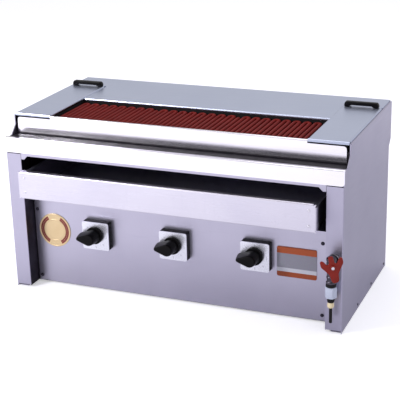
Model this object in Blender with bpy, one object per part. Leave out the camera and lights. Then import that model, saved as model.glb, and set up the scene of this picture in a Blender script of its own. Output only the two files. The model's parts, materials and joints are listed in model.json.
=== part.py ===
"""Electric yakitori grill for a counter, with three heat zones and a drip drawer, in metres with +Z up.

X runs across the front, centred. Y runs from the front plane of the lower body to the back, and Z
from the table. The empty named grill carries everything and centres the whole on its place.
"""

import math

import bmesh
import bpy

# Sheet metal, and the gap that pieces keep where they touch
SHEET = 0.0015
THIN = 0.0012
GAP = 0.0003
BEND = 0.0018
BEND_STEPS = 2
RELIEF = 0.005
OVERRUN = 0.010

# Body
WIDTH = 0.600
TOP = 0.3125
DEPTH = 0.298
OVERHANG = 0.012
OVERHANG_HEIGHT = 0.0715
FLANGE_WIDTH = 0.028
RETURN_WIDTH = 0.020
TOP_RETURN_WIDTH = 0.014
FASCIA_Y = 0.035
SHOULDER_Y = 0.020
HALF = WIDTH / 2
UPPER_DEPTH = DEPTH + OVERHANG
NOTCH_TOP = TOP - OVERHANG_HEIGHT
FASCIA_TOP = TOP - SHEET - GAP
SIDE_TOP = FASCIA_TOP - SHEET
POST_X = HALF - FLANGE_WIDTH

# Front rails
LEDGE_DROP = 0.036
RAIL_HEIGHT = 0.026
RAIL_OVERHANG = 0.001
RAIL_RETURN = 0.006
RAIL_CORNER = 0.005
FLANGE_LAP = 0.002
CROSSBAR_SHOWS = 0.005
CROSSBAR_RETURN = 0.012
TAB_WIDTH = 0.012
TAB_DEPTH = 0.0065
LEDGE_LIP = 0.013
LEDGE_RISE = 0.020
FASCIA_LIFT = 0.0025
FASCIA_INSET = 0.0065
FASCIA_CORNER = 0.005
FASCIA_ROLL = 0.006
FASCIA_DROP = 0.008
LEDGE_TOP = TOP - LEDGE_DROP
RAIL_TOP = LEDGE_TOP + SHEET
RAIL_BOTTOM = RAIL_TOP - RAIL_HEIGHT
FLANGE_TOP = RAIL_BOTTOM - FLANGE_LAP
CROSSBAR_BOTTOM = RAIL_BOTTOM - CROSSBAR_SHOWS
FASCIA_BOTTOM = LEDGE_TOP + FASCIA_LIFT
FASCIA_HALF = HALF - FASCIA_INSET

# Fire opening, and the box under it
LID_WIDTH = 0.070
OPENING_DEPTH = 0.121
BOX_SINK = 0.0055
THROAT_DROP = 0.045
BOX_HEIGHT = 0.057
BOX_SLOPE = 0.018
ANGLE_LEG = 0.014
OPENING_HALF = HALF - LID_WIDTH
OPENING_FRONT = FASCIA_Y + FASCIA_ROLL
OPENING_REAR = OPENING_FRONT + OPENING_DEPTH
BOX_WALL_TOP = TOP - BOX_SINK
BOX_THROAT = BOX_WALL_TOP - THROAT_DROP
BOX_BOTTOM = BOX_WALL_TOP - BOX_HEIGHT

# Covers
LID_LIP = 0.003
LID_FRONT_LIP = 0.0045
LID_SEAM = 0.0025
LID_LENGTH = 0.215
LID_MARGIN = 0.0025
REAR_LIP = 0.003
REAR_FOLD = 0.015
LID_REAR = FASCIA_Y + LID_LENGTH

# Grips on the lids
GRIP_LENGTH = 0.060
GRIP_DEPTH = 0.010
GRIP_HEIGHT = 0.0085
GRIP_FOOT = 0.009
GRIP_ARCH = 0.0025
GRIP_SETBACK = 0.007
GRIP_BEVEL = 0.0015
GRIP_Y = LID_REAR - GRIP_SETBACK

# Heaters: each zone is one tube that runs to and fro
ZONES = 3
LEG_PITCH = 0.0090
HEATER_RADIUS = 0.0032
HEATER_DEPTH = 0.006
HEATER_END = 0.005
HEATER_TAIL = 0.022
BEND_POINTS = 4
COMB_THICKNESS = 0.0015
COMB_INSET = 0.010
COMB_HEIGHT = 0.0225
COMB_SLOT_CLEAR = 0.0004
ALL_LEGS = int((OPENING_HALF - HEATER_RADIUS) * 2 / LEG_PITCH) + 1
LEGS = ALL_LEGS // ZONES
HEATER_Z = BOX_WALL_TOP - HEATER_DEPTH
HEATER_FRONT = OPENING_FRONT + HEATER_END
HEATER_REAR = OPENING_REAR - HEATER_END
COMB_BOTTOM = HEATER_Z - COMB_HEIGHT

# Drawer
DRAWER_OUT = 0.028
DRAWER_SIDE_GAP = 0.008
DRAWER_TOP_GAP = 0.019
DRAWER_HEIGHT = 0.048
DRAWER_RETURN = 0.010
PAN_LIFT = 0.003
PAN_DROP = 0.006
PAN_RIM = 0.006
PAN_REAR_GAP = 0.014
DRAWER_HALF = POST_X - DRAWER_SIDE_GAP
DRAWER_TOP = CROSSBAR_BOTTOM - DRAWER_TOP_GAP
DRAWER_BOTTOM = DRAWER_TOP - DRAWER_HEIGHT
PAN_BOTTOM = DRAWER_BOTTOM + PAN_LIFT
PAN_TOP = DRAWER_TOP - PAN_DROP
PAN_FRONT = THIN + GAP + THIN - DRAWER_OUT
PAN_REAR = DEPTH - DRAWER_OUT - PAN_REAR_GAP

# Water basin under the drawer, and the runners on its rim
BASIN_GAP = 0.007
BASIN_DEPTH = 0.024
RIM_WIDTH = 0.036
RIM_FRONT = 0.003
RIM_FRONT_DEPTH = 0.039
RIM_REAR_DEPTH = 0.012
RIM_REAR_GAP = 0.006
RUNNER_WIDTH = 0.014
RUNNER_OFFSET = 0.005
RUNNER_SETBACK = 0.004
BASIN_RIM = DRAWER_BOTTOM - BASIN_GAP
BASIN_HALF = POST_X - RIM_WIDTH
BASIN_FRONT = RIM_FRONT + RIM_FRONT_DEPTH
RIM_REAR = DEPTH - RIM_REAR_GAP
BASIN_REAR = RIM_REAR - RIM_REAR_DEPTH
RUNNER_FRONT = DRAWER_RETURN + RUNNER_SETBACK
RUNNER_REAR = RIM_REAR - THIN

# Control panel
PANEL_Y = 0.030
PANEL_DROP = 0.005
PANEL_RETURN = 0.008
PANEL_CHAMFER = 0.012
POST_LEG = 0.017
POST_GAP = 0.001
BASE_GAP = 0.004
BASE_BOTTOM = SHEET + GAP
PANEL_BOTTOM = BASE_BOTTOM + THIN + GAP
PANEL_TOP = BASIN_RIM - PANEL_DROP
POST_TOP = CROSSBAR_BOTTOM - POST_GAP
BASE_FRONT = PANEL_Y + BASE_GAP

# Switches
SWITCHES = 3
SWITCH_MARGIN = 0.154
SWITCH_MIDDLE = 0.001
SWITCH_DROP = 0.057
PLATE_SIDE = 0.0505
PLATE_DROP = 0.0027
PLATE_THICKNESS = 0.0015
PLATE_CORNER = 0.003
HOUSING_DEPTH = 0.012
SWITCH_BODY_SIDE = 0.044
SWITCH_BODY_DEPTH = 0.046
SWITCH_GROOVE = 0.002
SHAFT_RADIUS = 0.003
SHAFT_CLEAR = 0.0008
SHAFT_DEPTH = 0.022
KNOB_RADIUS = 0.0155
KNOB_SKIRT = 0.007
KNOB_HEIGHT = 0.030
POINTER_REACH = 0.027
POINTER_ROUND = 0.0120
POINTER_TIP = 0.0035
SWITCH_PITCH = (HALF - SWITCH_MARGIN) * 2 / (SWITCHES - 1)
SWITCH_Z = PANEL_TOP - SWITCH_DROP
PLATE_FACE = PANEL_Y - GAP - HOUSING_DEPTH - GAP - PLATE_THICKNESS

# Badge and rating plate, both bare
BADGE_RADIUS = 0.031
BADGE_MARGIN = 0.068
BADGE_DROP = 0.064
BADGE_THICKNESS = 0.0012
LABEL_WIDTH = 0.068
LABEL_HEIGHT = 0.053
LABEL_MARGIN = 0.085
LABEL_DROP = 0.0665
LABEL_THICKNESS = 0.0006
LABEL_CORNER = 0.003

# Drain cock, hung before the right flange
COCK_Y = -0.017
PIPE_DROP = 0.019
PIPE_RADIUS = 0.005
PIPE_BEND = 0.010
PIPE_RUN = 0.072
BARREL_DROP = 0.004
BARREL_HEIGHT = 0.045
BARREL_RADIUS = 0.008
STEM_DROP = 0.010
STEM_RADIUS = 0.0025
BONNET_RADIUS = 0.0062
BONNET_REACH = 0.0115
COLLAR_REACH = 0.0045
HANDLE_THICKNESS = 0.0025
HANDLE_HALF = 0.018
HANDLE_RISE = 0.0185
HANDLE_FOOT = 0.027
LOCK_NUT_RADIUS = 0.0045
LOCK_NUT_HEIGHT = 0.003
STEM_END = 0.0017
COCK_DEGREES = 22.5
HANDLE_DEGREES = 12
SEAL_RADIUS = 0.0085
SEAL_HEIGHT = 0.0047
UNION_RADIUS = 0.0100
UNION_HEIGHT = 0.0187
GASKET_RADIUS = 0.0065
GASKET_HEIGHT = 0.0077
COLLAR_RADIUS = 0.0055
COLLAR_HEIGHT = 0.0097
SPOUT_RADIUS = 0.0027
SPOUT_BORE = 0.0015
SPOUT_HEIGHT = 0.0260
BUSH_RADIUS = 0.0095
BUSH_THICKNESS = 0.004
COCK_X = HALF - FLANGE_WIDTH / 2
PIPE_Z = BASIN_RIM - PIPE_DROP
BARREL_TOP = PIPE_Z - PIPE_BEND - BARREL_DROP
BARREL_BOTTOM = BARREL_TOP - BARREL_HEIGHT
STEM_Z = BARREL_TOP - STEM_DROP
HANDLE_REACH = BONNET_REACH + COLLAR_REACH
NUT_REACH = HANDLE_REACH + HANDLE_THICKNESS + GAP
STEM_REACH = NUT_REACH + LOCK_NUT_HEIGHT + STEM_END

# Mains gland and terminals
GLAND_MARGIN = 0.100
GLAND_Z = 0.040
GLAND_RADIUS = 0.012
GLAND_NECK = 0.008
GLAND_BORE = 0.005
GLAND_REACH = 0.016
GLAND_INSIDE = 0.010
GLAND_FLANGE = 0.003
TERMINAL_X = 0.090
TERMINAL_GAP = 0.048
TERMINAL_WAYS = 5
TERMINAL_PITCH = 0.014
TERMINAL_DEPTH = 0.030
TERMINAL_HEIGHT = 0.022
TERMINAL_RIB = 0.003
GLAND_X = HALF - GLAND_MARGIN

# The cock's stem is turned a little to the right, and its handle leans
COCK_TURN = math.radians(COCK_DEGREES)
HANDLE_LEAN = math.radians(HANDLE_DEGREES)
STEM_FRONT = COCK_Y - STEM_REACH * math.cos(COCK_TURN) - STEM_RADIUS * math.sin(COCK_TURN)

# Steps of round pieces
ROUND_STEPS = 20
FINE_STEPS = 32
CORNER_STEPS = 3

# Finishes: colour, roughness, metallic
STEEL = ((0.66, 0.65, 0.74), 0.32, 1.0)
POLISHED = ((0.86, 0.85, 0.90), 0.12, 1.0)
TINTED = ((0.10, 0.09, 0.12), 0.15, 1.0)
DULL_STEEL = ((0.30, 0.29, 0.32), 0.50, 1.0)
RED_HOT = ((0.33, 0.05, 0.04), 0.60, 0.0)
BLACK_PLASTIC = ((0.015, 0.013, 0.016), 0.35, 0.0)
SILVER = ((0.80, 0.80, 0.84), 0.30, 1.0)
GOLD = ((0.75, 0.60, 0.38), 0.40, 0.6)
ORANGE = ((0.50, 0.15, 0.04), 0.50, 0.0)
CHROME = ((0.80, 0.80, 0.82), 0.10, 1.0)
RED_PAINT = ((0.45, 0.05, 0.02), 0.40, 0.0)
IVORY = ((0.75, 0.66, 0.48), 0.45, 0.0)
RUBBER = ((0.02, 0.02, 0.02), 0.70, 0.0)
GREY_PLASTIC = ((0.55, 0.58, 0.66), 0.45, 0.0)

# The red handle's right half, from its foot up: shares of its half width and of its rise and foot
HANDLE_SHARES = (
    (0.20, -1.00), (0.34, -0.86), (0.40, -0.45), (0.72, -0.12), (1.00, 0.20), (1.00, 0.66),
    (0.86, 0.76), (0.68, 0.66), (0.44, 0.26), (0.24, 0.34), (0.22, 0.92), (0.14, 1.00),
)


def clear_scene():
    for old in list(bpy.data.objects):
        bpy.data.objects.remove(old, do_unlink=True)


def make_grill_empty():
    """The empty that centres the whole, from the rail's left end and from the gland's end."""
    grill = bpy.data.objects.new("grill", None)
    bpy.context.scene.collection.objects.link(grill)
    right, front = cock_extent()
    grill.location = ((HALF + RAIL_OVERHANG - right) / 2, -(front + DEPTH + GLAND_REACH) / 2, 0)
    return grill


def finish_material(name, finish):
    """A Principled material of the piece's own colour, roughness and metallic value."""
    colour, roughness, metallic = finish
    material = bpy.data.materials.new(name)
    material.use_nodes = True
    shader = material.node_tree.nodes["Principled BSDF"]
    shader.inputs["Base Color"].default_value = (*colour, 1)
    shader.inputs["Roughness"].default_value = roughness
    shader.inputs["Metallic"].default_value = metallic
    material.diffuse_color = (*colour, 1)
    return material


def add_object(name, data, finish, place=(0, 0, 0), turn=(0, 0, 0)):
    """Links one named piece into the scene, under the grill empty."""
    piece = bpy.data.objects.new(name, data)
    bpy.context.scene.collection.objects.link(piece)
    piece.parent = GRILL
    piece.location = place
    piece.rotation_euler = turn
    data.materials.append(finish_material(name, finish))
    return piece


def mesh_from(name, shape):
    mesh = bpy.data.meshes.new(name)
    shape.to_mesh(mesh)
    shape.free()
    return mesh


def folded_sheet(name, panels, thickness, finish):
    """Sheet metal: flat panels that share their fold lines, each seen anticlockwise from outside.

    The folds are rounded, and the wall grows inwards from the outer skin.
    """
    shape = bmesh.new()
    for panel in panels:
        shape.faces.new([shape.verts.new(corner) for corner in panel])
    bmesh.ops.remove_doubles(shape, verts=shape.verts, dist=GAP / 10)
    piece = add_object(name, mesh_from(name, shape), finish)
    bend = piece.modifiers.new("folds", "BEVEL")
    bend.width = BEND
    bend.segments = BEND_STEPS
    bend.limit_method = "ANGLE"
    wall = piece.modifiers.new("wall", "SOLIDIFY")
    wall.thickness = thickness
    wall.offset = -1
    wall.use_even_offset = True
    return piece


def swept_sheet(name, path, left, right, thickness, finish):
    """A sheet of one section: path holds (y, z), up the front, back over the top, down the rear."""
    panels = []
    for (y0, z0), (y1, z1) in zip(path, path[1:]):
        panels.append([(left, y0, z0), (right, y0, z0), (right, y1, z1), (left, y1, z1)])
    return folded_sheet(name, panels, thickness, finish)


def on_side(panels, side):
    """Panels drawn for the right side (side 1), or mirrored to the left (side -1)."""
    if side > 0:
        return panels
    return [[(-x, y, z) for x, y, z in reversed(panel)] for panel in panels]


def arc(centre_u, centre_v, radius, start, end, steps):
    """Points from angle start to angle end, in degrees, both ends included."""
    points = []
    for step in range(steps + 1):
        angle = math.radians(start + (end - start) * step / steps)
        points.append((centre_u + radius * math.cos(angle), centre_v + radius * math.sin(angle)))
    return points


def rounded_rectangle(width, height, radius, steps=CORNER_STEPS):
    """An outline with round corners, centred, anticlockwise."""
    u = width / 2 - radius
    v = height / 2 - radius
    outline = []
    for quarter, (su, sv) in enumerate(((1, 1), (-1, 1), (-1, -1), (1, -1))):
        outline += arc(su * u, sv * v, radius, 90 * quarter, 90 * quarter + 90, steps)
    return outline


def stacked(name, outline, stations, finish, place=(0, 0, 0), turn=(0, 0, 0)):
    """A solid lofted through copies of an outline: stations hold (height along local Z, scale)."""
    shape = bmesh.new()
    rings = []
    for height, scale in stations:
        rings.append([shape.verts.new((u * scale, v * scale, height)) for u, v in outline])
    shape.faces.new(list(reversed(rings[0])))
    shape.faces.new(rings[-1])
    for lower, upper in zip(rings, rings[1:]):
        for i in range(len(outline)):
            j = (i + 1) % len(outline)
            shape.faces.new((lower[i], lower[j], upper[j], upper[i]))
    mesh = mesh_from(name, shape)
    return add_object(name, mesh, finish, place, turn)


def turned(name, profile, finish, place=(0, 0, 0), turn=(0, 0, 0), steps=ROUND_STEPS, bored=False):
    """A turned solid about local Z: profile holds (radius, height), and closes on itself if bored."""
    shape = bmesh.new()
    points = [shape.verts.new((radius, 0, height)) for radius, height in profile]
    edges = [shape.edges.new(pair) for pair in zip(points, points[1:])]
    if bored:
        edges.append(shape.edges.new((points[-1], points[0])))
    bmesh.ops.spin(
        shape, geom=points + edges, cent=(0, 0, 0), axis=(0, 0, 1), angle=2 * math.pi, steps=steps
    )
    bmesh.ops.remove_doubles(shape, verts=shape.verts, dist=GAP / 10)
    bmesh.ops.recalc_face_normals(shape, faces=shape.faces)
    mesh = mesh_from(name, shape)
    mesh.shade_smooth()
    mesh.set_sharp_from_angle(angle=math.radians(35))
    return add_object(name, mesh, finish, place, turn)


def tube(name, points, radius, sides_level, finish):
    """A round bar or pipe along the points, with closed ends."""
    curve = bpy.data.curves.new(name, "CURVE")
    curve.dimensions = "3D"
    curve.bevel_depth = radius
    curve.bevel_resolution = sides_level
    curve.use_fill_caps = True
    spline = curve.splines.new("POLY")
    spline.points.add(len(points) - 1)
    for point, place in zip(spline.points, points):
        point.co = (*place, 1)
    return add_object(name, curve, finish)


def helper(tool):
    """Hides a cutter or an added shape, which only its Boolean uses."""
    tool.hide_render = True
    tool.display_type = "WIRE"
    return tool


def combine(piece, tool, operation):
    boolean = piece.modifiers.new(operation.lower(), "BOOLEAN")
    boolean.operation = operation
    boolean.solver = "EXACT"
    boolean.object = helper(tool)


def drill(piece, radius, place, turn, length, steps=ROUND_STEPS):
    """A round hole through the piece: the drill's middle is at place, its axis local Z."""
    outline = arc(0, 0, radius, 0, 360, steps)[:-1]
    name = piece.name + "_drill_%d" % len(piece.modifiers)
    cutter = stacked(name, outline, ((-length / 2, 1), (length / 2, 1)), RUBBER, place, turn)
    combine(piece, cutter, "DIFFERENCE")


# A turn that lays local Z towards the front, with local Y up
TO_FRONT = (math.radians(90), 0, 0)
# The same for the cock, whose stem is turned a little to the right
COCK_FRONT = (math.radians(90), 0, COCK_TURN)
# A turn that lays local Z towards the back, with local Y down
TO_BACK = (math.radians(-90), 0, 0)


def build_side_panel(side, name):
    """One sheet: the side with its stepped outline, the front flange, and returns below and above."""
    rear_step = UPPER_DEPTH - DEPTH
    shoulder_z = LEDGE_TOP - GAP
    flange_foot = RELIEF
    outline = [
        (0, 0), (RELIEF, 0), (DEPTH - RELIEF, 0), (DEPTH, 0),
        (DEPTH, NOTCH_TOP - rear_step), (UPPER_DEPTH, NOTCH_TOP),
        (UPPER_DEPTH, SIDE_TOP), (UPPER_DEPTH - RELIEF, SIDE_TOP),
        (FASCIA_Y + RELIEF, SIDE_TOP), (FASCIA_Y, SIDE_TOP),
        (FASCIA_Y, shoulder_z + FASCIA_Y - SHOULDER_Y), (SHOULDER_Y, shoulder_z),
        (0, shoulder_z), (0, FLANGE_TOP), (0, flange_foot),
    ]
    inner = HALF - FLANGE_WIDTH
    fold = HALF - RETURN_WIDTH
    top = HALF - TOP_RETURN_WIDTH
    front, rear = RELIEF, DEPTH - RELIEF
    top_front, top_rear = FASCIA_Y + RELIEF, UPPER_DEPTH - RELIEF
    panels = [
        [(HALF, y, z) for y, z in outline],
        [(inner, 0, flange_foot), (HALF, 0, flange_foot), (HALF, 0, FLANGE_TOP), (inner, 0, FLANGE_TOP)],
        [(HALF, rear, 0), (HALF, front, 0), (fold, front, 0), (fold, rear, 0)],
        [(HALF, top_front, SIDE_TOP), (HALF, top_rear, SIDE_TOP), (top, top_rear, SIDE_TOP),
         (top, top_front, SIDE_TOP)],
    ]
    return folded_sheet(name, on_side(panels, side), SHEET, STEEL)


def build_post(side, name):
    """The dark upright behind a front flange: it closes the step back to the control panel."""
    bottom = PANEL_BOTTOM + GAP
    front = SHEET + GAP
    back = PANEL_Y + THIN + GAP
    inner = POST_X - POST_LEG
    panels = [
        [(POST_X, back, bottom), (POST_X, front, bottom), (POST_X, front, POST_TOP),
         (POST_X, back, POST_TOP), (POST_X, back, PANEL_TOP)],
        [(inner, back, bottom), (POST_X, back, bottom), (POST_X, back, PANEL_TOP),
         (inner, back, PANEL_TOP)],
    ]
    return folded_sheet(name, on_side(panels, side), THIN, DULL_STEEL)


def build_rear_panel():
    """The back: the upper part overhangs the lower by a slanted step, and a lip turns in below."""
    rear_step = UPPER_DEPTH - DEPTH
    half = HALF - SHEET - GAP
    top = SIDE_TOP + GAP + SHEET - REAR_FOLD - GAP
    path = [
        (UPPER_DEPTH, top), (UPPER_DEPTH, NOTCH_TOP), (DEPTH, NOTCH_TOP - rear_step),
        (DEPTH, BASE_BOTTOM + THIN + GAP), (DEPTH - RETURN_WIDTH, BASE_BOTTOM + THIN + GAP),
    ]
    panel = swept_sheet("rear_panel", path, -half, half, THIN, STEEL)
    drill(panel, GLAND_NECK + GAP, (GLAND_X, DEPTH, GLAND_Z), TO_FRONT, OVERRUN)


def build_base_panel():
    half = HALF - SHEET - GAP
    rear = DEPTH - THIN - GAP
    path = [(rear, BASE_BOTTOM), (BASE_FRONT, BASE_BOTTOM)]
    swept_sheet("base_panel", path, -half, half, THIN, DULL_STEEL)


def build_crossbar():
    """The bar above the drawer, with a small chamfered tab at each end."""
    half = POST_X - GAP - GAP
    low = CROSSBAR_BOTTOM - TAB_DEPTH
    shelf = half - TAB_WIDTH
    tip = shelf + TAB_DEPTH
    top = LEDGE_TOP - THIN - GAP
    face = [
        (-half, 0, low), (-tip, 0, low), (-shelf, 0, CROSSBAR_BOTTOM), (shelf, 0, CROSSBAR_BOTTOM),
        (tip, 0, low), (half, 0, low), (half, 0, top), (-half, 0, top),
    ]
    fold = [
        (shelf, 0, CROSSBAR_BOTTOM), (-shelf, 0, CROSSBAR_BOTTOM),
        (-shelf, CROSSBAR_RETURN, CROSSBAR_BOTTOM), (shelf, CROSSBAR_RETURN, CROSSBAR_BOTTOM),
    ]
    folded_sheet("front_crossbar", [face, fold], SHEET, STEEL)


def build_skewer_rail():
    """The polished rail on which the skewers' handles rest, with round lower corners."""
    half = HALF + RAIL_OVERHANG
    front = -GAP - THIN
    lower = RAIL_BOTTOM + RAIL_CORNER
    right = arc(half - RAIL_CORNER, lower, RAIL_CORNER, -90, 0, CORNER_STEPS)
    left = arc(RAIL_CORNER - half, lower, RAIL_CORNER, 180, 270, CORNER_STEPS)
    outline = left + right + [(half, RAIL_TOP), (-half, RAIL_TOP)]
    face = [(x, front, z) for x, z in outline]
    fold = [
        (-half, front, RAIL_TOP), (half, front, RAIL_TOP),
        (half, RAIL_RETURN, RAIL_TOP), (-half, RAIL_RETURN, RAIL_TOP),
    ]
    folded_sheet("skewer_rail", [face, fold], THIN, POLISHED)


def build_ledge():
    """The dark ledge behind the rail: a lip down behind the crossbar and a rise behind the fascia."""
    front = SHEET + GAP
    rear = FASCIA_Y + THIN + GAP
    level = LEDGE_TOP - GAP
    path = [(front, level - LEDGE_LIP), (front, level), (rear, level), (rear, level + LEDGE_RISE)]
    half = HALF - SHEET - GAP
    swept_sheet("front_ledge", path, -half, half, THIN, TINTED)


def build_fascia():
    """The polished front of the fire opening: a rolled edge between the lids, lower ends under them."""
    crown = FASCIA_HALF - FASCIA_CORNER
    level = TOP - LID_FRONT_LIP - LID_SEAM - FASCIA_CORNER
    right = arc(crown, level, FASCIA_CORNER, 0, 90, CORNER_STEPS)
    left = arc(-crown, level, FASCIA_CORNER, 90, 180, CORNER_STEPS)
    inner = OPENING_HALF - GAP
    shoulder = level + FASCIA_CORNER
    middle = [(inner, shoulder), (inner, FASCIA_TOP), (-inner, FASCIA_TOP), (-inner, shoulder)]
    outline = [(-FASCIA_HALF, FASCIA_BOTTOM), (FASCIA_HALF, FASCIA_BOTTOM)] + right + middle + left
    drop = FASCIA_TOP - FASCIA_DROP
    face = [(x, FASCIA_Y, z) for x, z in outline]
    roll = [
        (-inner, FASCIA_Y, FASCIA_TOP), (inner, FASCIA_Y, FASCIA_TOP),
        (inner, OPENING_FRONT, FASCIA_TOP), (-inner, OPENING_FRONT, FASCIA_TOP),
    ]
    back = [
        (-inner, OPENING_FRONT, FASCIA_TOP), (inner, OPENING_FRONT, FASCIA_TOP),
        (inner, OPENING_FRONT, drop), (-inner, OPENING_FRONT, drop),
    ]
    folded_sheet("fascia_rail", [face, roll, back], THIN, POLISHED)


def build_fire_box():
    """The open box that holds the heaters: side wings carry it, and its throat slopes to the drawer."""
    x = OPENING_HALF + GAP
    front = OPENING_FRONT + THIN + GAP
    rear = OPENING_REAR - GAP
    wing = HALF - SHEET - THIN - GAP - GAP
    low_x = x - BOX_SLOPE
    low_front = front + BOX_SLOPE
    low_rear = rear - BOX_SLOPE
    top, throat, low = BOX_WALL_TOP, BOX_THROAT, BOX_BOTTOM
    upper = [(-x, front, top), (x, front, top), (x, rear, top), (-x, rear, top)]
    middle = [(px, py, throat) for px, py, _ in upper]
    lower = [
        (-low_x, low_front, low), (low_x, low_front, low), (low_x, low_rear, low), (-low_x, low_rear, low)
    ]
    panels = []
    for i in range(4):
        j = (i + 1) % 4
        panels.append([upper[i], upper[j], middle[j], middle[i]])
        panels.append([middle[i], middle[j], lower[j], lower[i]])
    panels.append([upper[1], (wing, front, top), (wing, rear, top), upper[2]])
    panels.append([upper[3], (-wing, rear, top), (-wing, front, top), upper[0]])
    folded_sheet("fire_box", panels, THIN, DULL_STEEL)


def build_box_angle(side, name):
    """The angle inside a side panel that carries a wing of the fire box."""
    outer = HALF - SHEET - GAP
    level = BOX_WALL_TOP - THIN - GAP
    inner = outer - ANGLE_LEG
    front = OPENING_FRONT + RELIEF
    rear = OPENING_REAR - RELIEF
    panels = [
        [(outer, front, level), (outer, rear, level), (inner, rear, level), (inner, front, level)],
        [(outer, front, level - ANGLE_LEG), (outer, rear, level - ANGLE_LEG), (outer, rear, level),
         (outer, front, level)],
    ]
    folded_sheet(name, on_side(panels, side), THIN, DULL_STEEL)


def build_lid(side, name):
    """A lift-off cover beside the fire opening, with a lip down in front, inside and outside."""
    inner = OPENING_HALF
    outer = HALF - LID_MARGIN
    top = TOP
    front, rear = FASCIA_Y, LID_REAR
    lip_front, lip_rear = OPENING_FRONT + GAP + GAP, LID_REAR - RELIEF
    low_front = top - LID_FRONT_LIP
    low_in = top - LID_LIP
    low_out = SIDE_TOP + GAP
    panels = [
        [(inner, front, top), (outer, front, top), (outer, lip_front, top), (outer, lip_rear, top),
         (outer, rear, top), (inner, rear, top), (inner, lip_rear, top), (inner, lip_front, top)],
        [(outer, front, top), (inner, front, top), (inner, front, low_front), (outer, front, low_front)],
        [(inner, lip_front, top), (inner, lip_rear, top), (inner, lip_rear, low_in),
         (inner, lip_front, low_in)],
        [(outer, lip_rear, top), (outer, lip_front, top), (outer, lip_front, low_out),
         (outer, lip_rear, low_out)],
    ]
    folded_sheet(name, on_side(panels, side), SHEET, STEEL)


def build_grip(side, name):
    """A low black bridge at the rear end of a lid."""
    half = GRIP_LENGTH / 2
    foot = half - GRIP_FOOT
    shoulder = GRIP_HEIGHT / 2
    outline = [
        (-half, 0), (-foot, 0), (-foot + GRIP_ARCH, GRIP_ARCH), (foot - GRIP_ARCH, GRIP_ARCH),
        (foot, 0), (half, 0), (half, shoulder), (half - shoulder / 2, GRIP_HEIGHT),
        (shoulder / 2 - half, GRIP_HEIGHT), (-half, shoulder),
    ]
    middle = side * (OPENING_HALF + HALF - LID_MARGIN - GRIP_BEVEL) / 2
    place = (middle, GRIP_Y + GRIP_DEPTH / 2, TOP + GAP)
    grip = stacked(name, outline, ((0, 1), (GRIP_DEPTH, 1)), BLACK_PLASTIC, place, TO_FRONT)
    edge = grip.modifiers.new("edges", "BEVEL")
    edge.width = GRIP_BEVEL
    edge.segments = 1
    edge.limit_method = "ANGLE"
    edge.angle_limit = math.radians(60)


def build_rear_cover():
    """The deep cover behind the fire opening: narrow between the lids, full width behind them."""
    neck = OPENING_HALF - GAP - GAP
    half = HALF - LID_MARGIN
    top = SIDE_TOP + GAP + SHEET
    front, step, rear = OPENING_REAR, LID_REAR + GAP + GAP, UPPER_DEPTH
    lip_low = top - REAR_LIP
    fold_low = top - REAR_FOLD
    panels = [
        [(-neck, front, top), (neck, front, top), (neck, step, top), (half, step, top),
         (half, rear, top), (-half, rear, top), (-half, step, top), (-neck, step, top)],
        [(neck, front, top), (-neck, front, top), (-neck, front, lip_low), (neck, front, lip_low)],
        [(-half, rear, top), (half, rear, top), (half, rear, fold_low), (-half, rear, fold_low)],
    ]
    folded_sheet("rear_cover", panels, SHEET, STEEL)


def leg_x(leg):
    """The middle of a heater leg, counted over all zones from the left."""
    return (leg - (ZONES * LEGS - 1) / 2) * LEG_PITCH


def build_heater(zone, name):
    """One heater tube: straight legs joined by half-round bends, its two ends turned down."""
    radius = LEG_PITCH / 2
    near, far = HEATER_FRONT + radius, HEATER_REAR - radius
    first = leg_x(zone * LEGS)
    points = [(first, near, HEATER_Z - HEATER_TAIL), (first, near, HEATER_Z - radius)]
    points.append((first, near + radius / 2, HEATER_Z))
    for leg in range(LEGS):
        x = leg_x(zone * LEGS + leg)
        going_back = leg % 2 == 0
        if leg < LEGS - 1:
            end = far if going_back else near
            sign = 1 if going_back else -1
            for step in range(BEND_POINTS + 1):
                angle = math.pi * step / BEND_POINTS
                bend_x = x + radius * (1 - math.cos(angle))
                points.append((bend_x, end + sign * radius * math.sin(angle), HEATER_Z))
    last = leg_x(zone * LEGS + LEGS - 1)
    end = far if LEGS % 2 else near
    inward = -radius / 2 if LEGS % 2 else radius / 2
    points.append((last, end + inward, HEATER_Z))
    points.append((last, end, HEATER_Z - radius))
    points.append((last, end, HEATER_Z - HEATER_TAIL))
    tube(name, points, HEATER_RADIUS, 1, RED_HOT)


def build_comb(y, name):
    """A comb across the fire box: every heater leg lies in one of its slots."""
    half = OPENING_HALF - GAP
    slot = HEATER_RADIUS + COMB_SLOT_CLEAR
    floor = HEATER_Z - HEATER_RADIUS - GAP
    outline = [(-half, COMB_BOTTOM), (half, COMB_BOTTOM), (half, HEATER_Z)]
    for leg in reversed(range(ZONES * LEGS)):
        x = leg_x(leg)
        outline += [(x + slot, HEATER_Z), (x + slot, floor + slot / 2), (x + slot / 2, floor)]
        outline += [(x - slot / 2, floor), (x - slot, floor + slot / 2), (x - slot, HEATER_Z)]
    outline.append((-half, HEATER_Z))
    place = (0, y + COMB_THICKNESS / 2, 0)
    stacked(name, outline, ((0, 1), (COMB_THICKNESS, 1)), DULL_STEEL, place, TO_FRONT)


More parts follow.
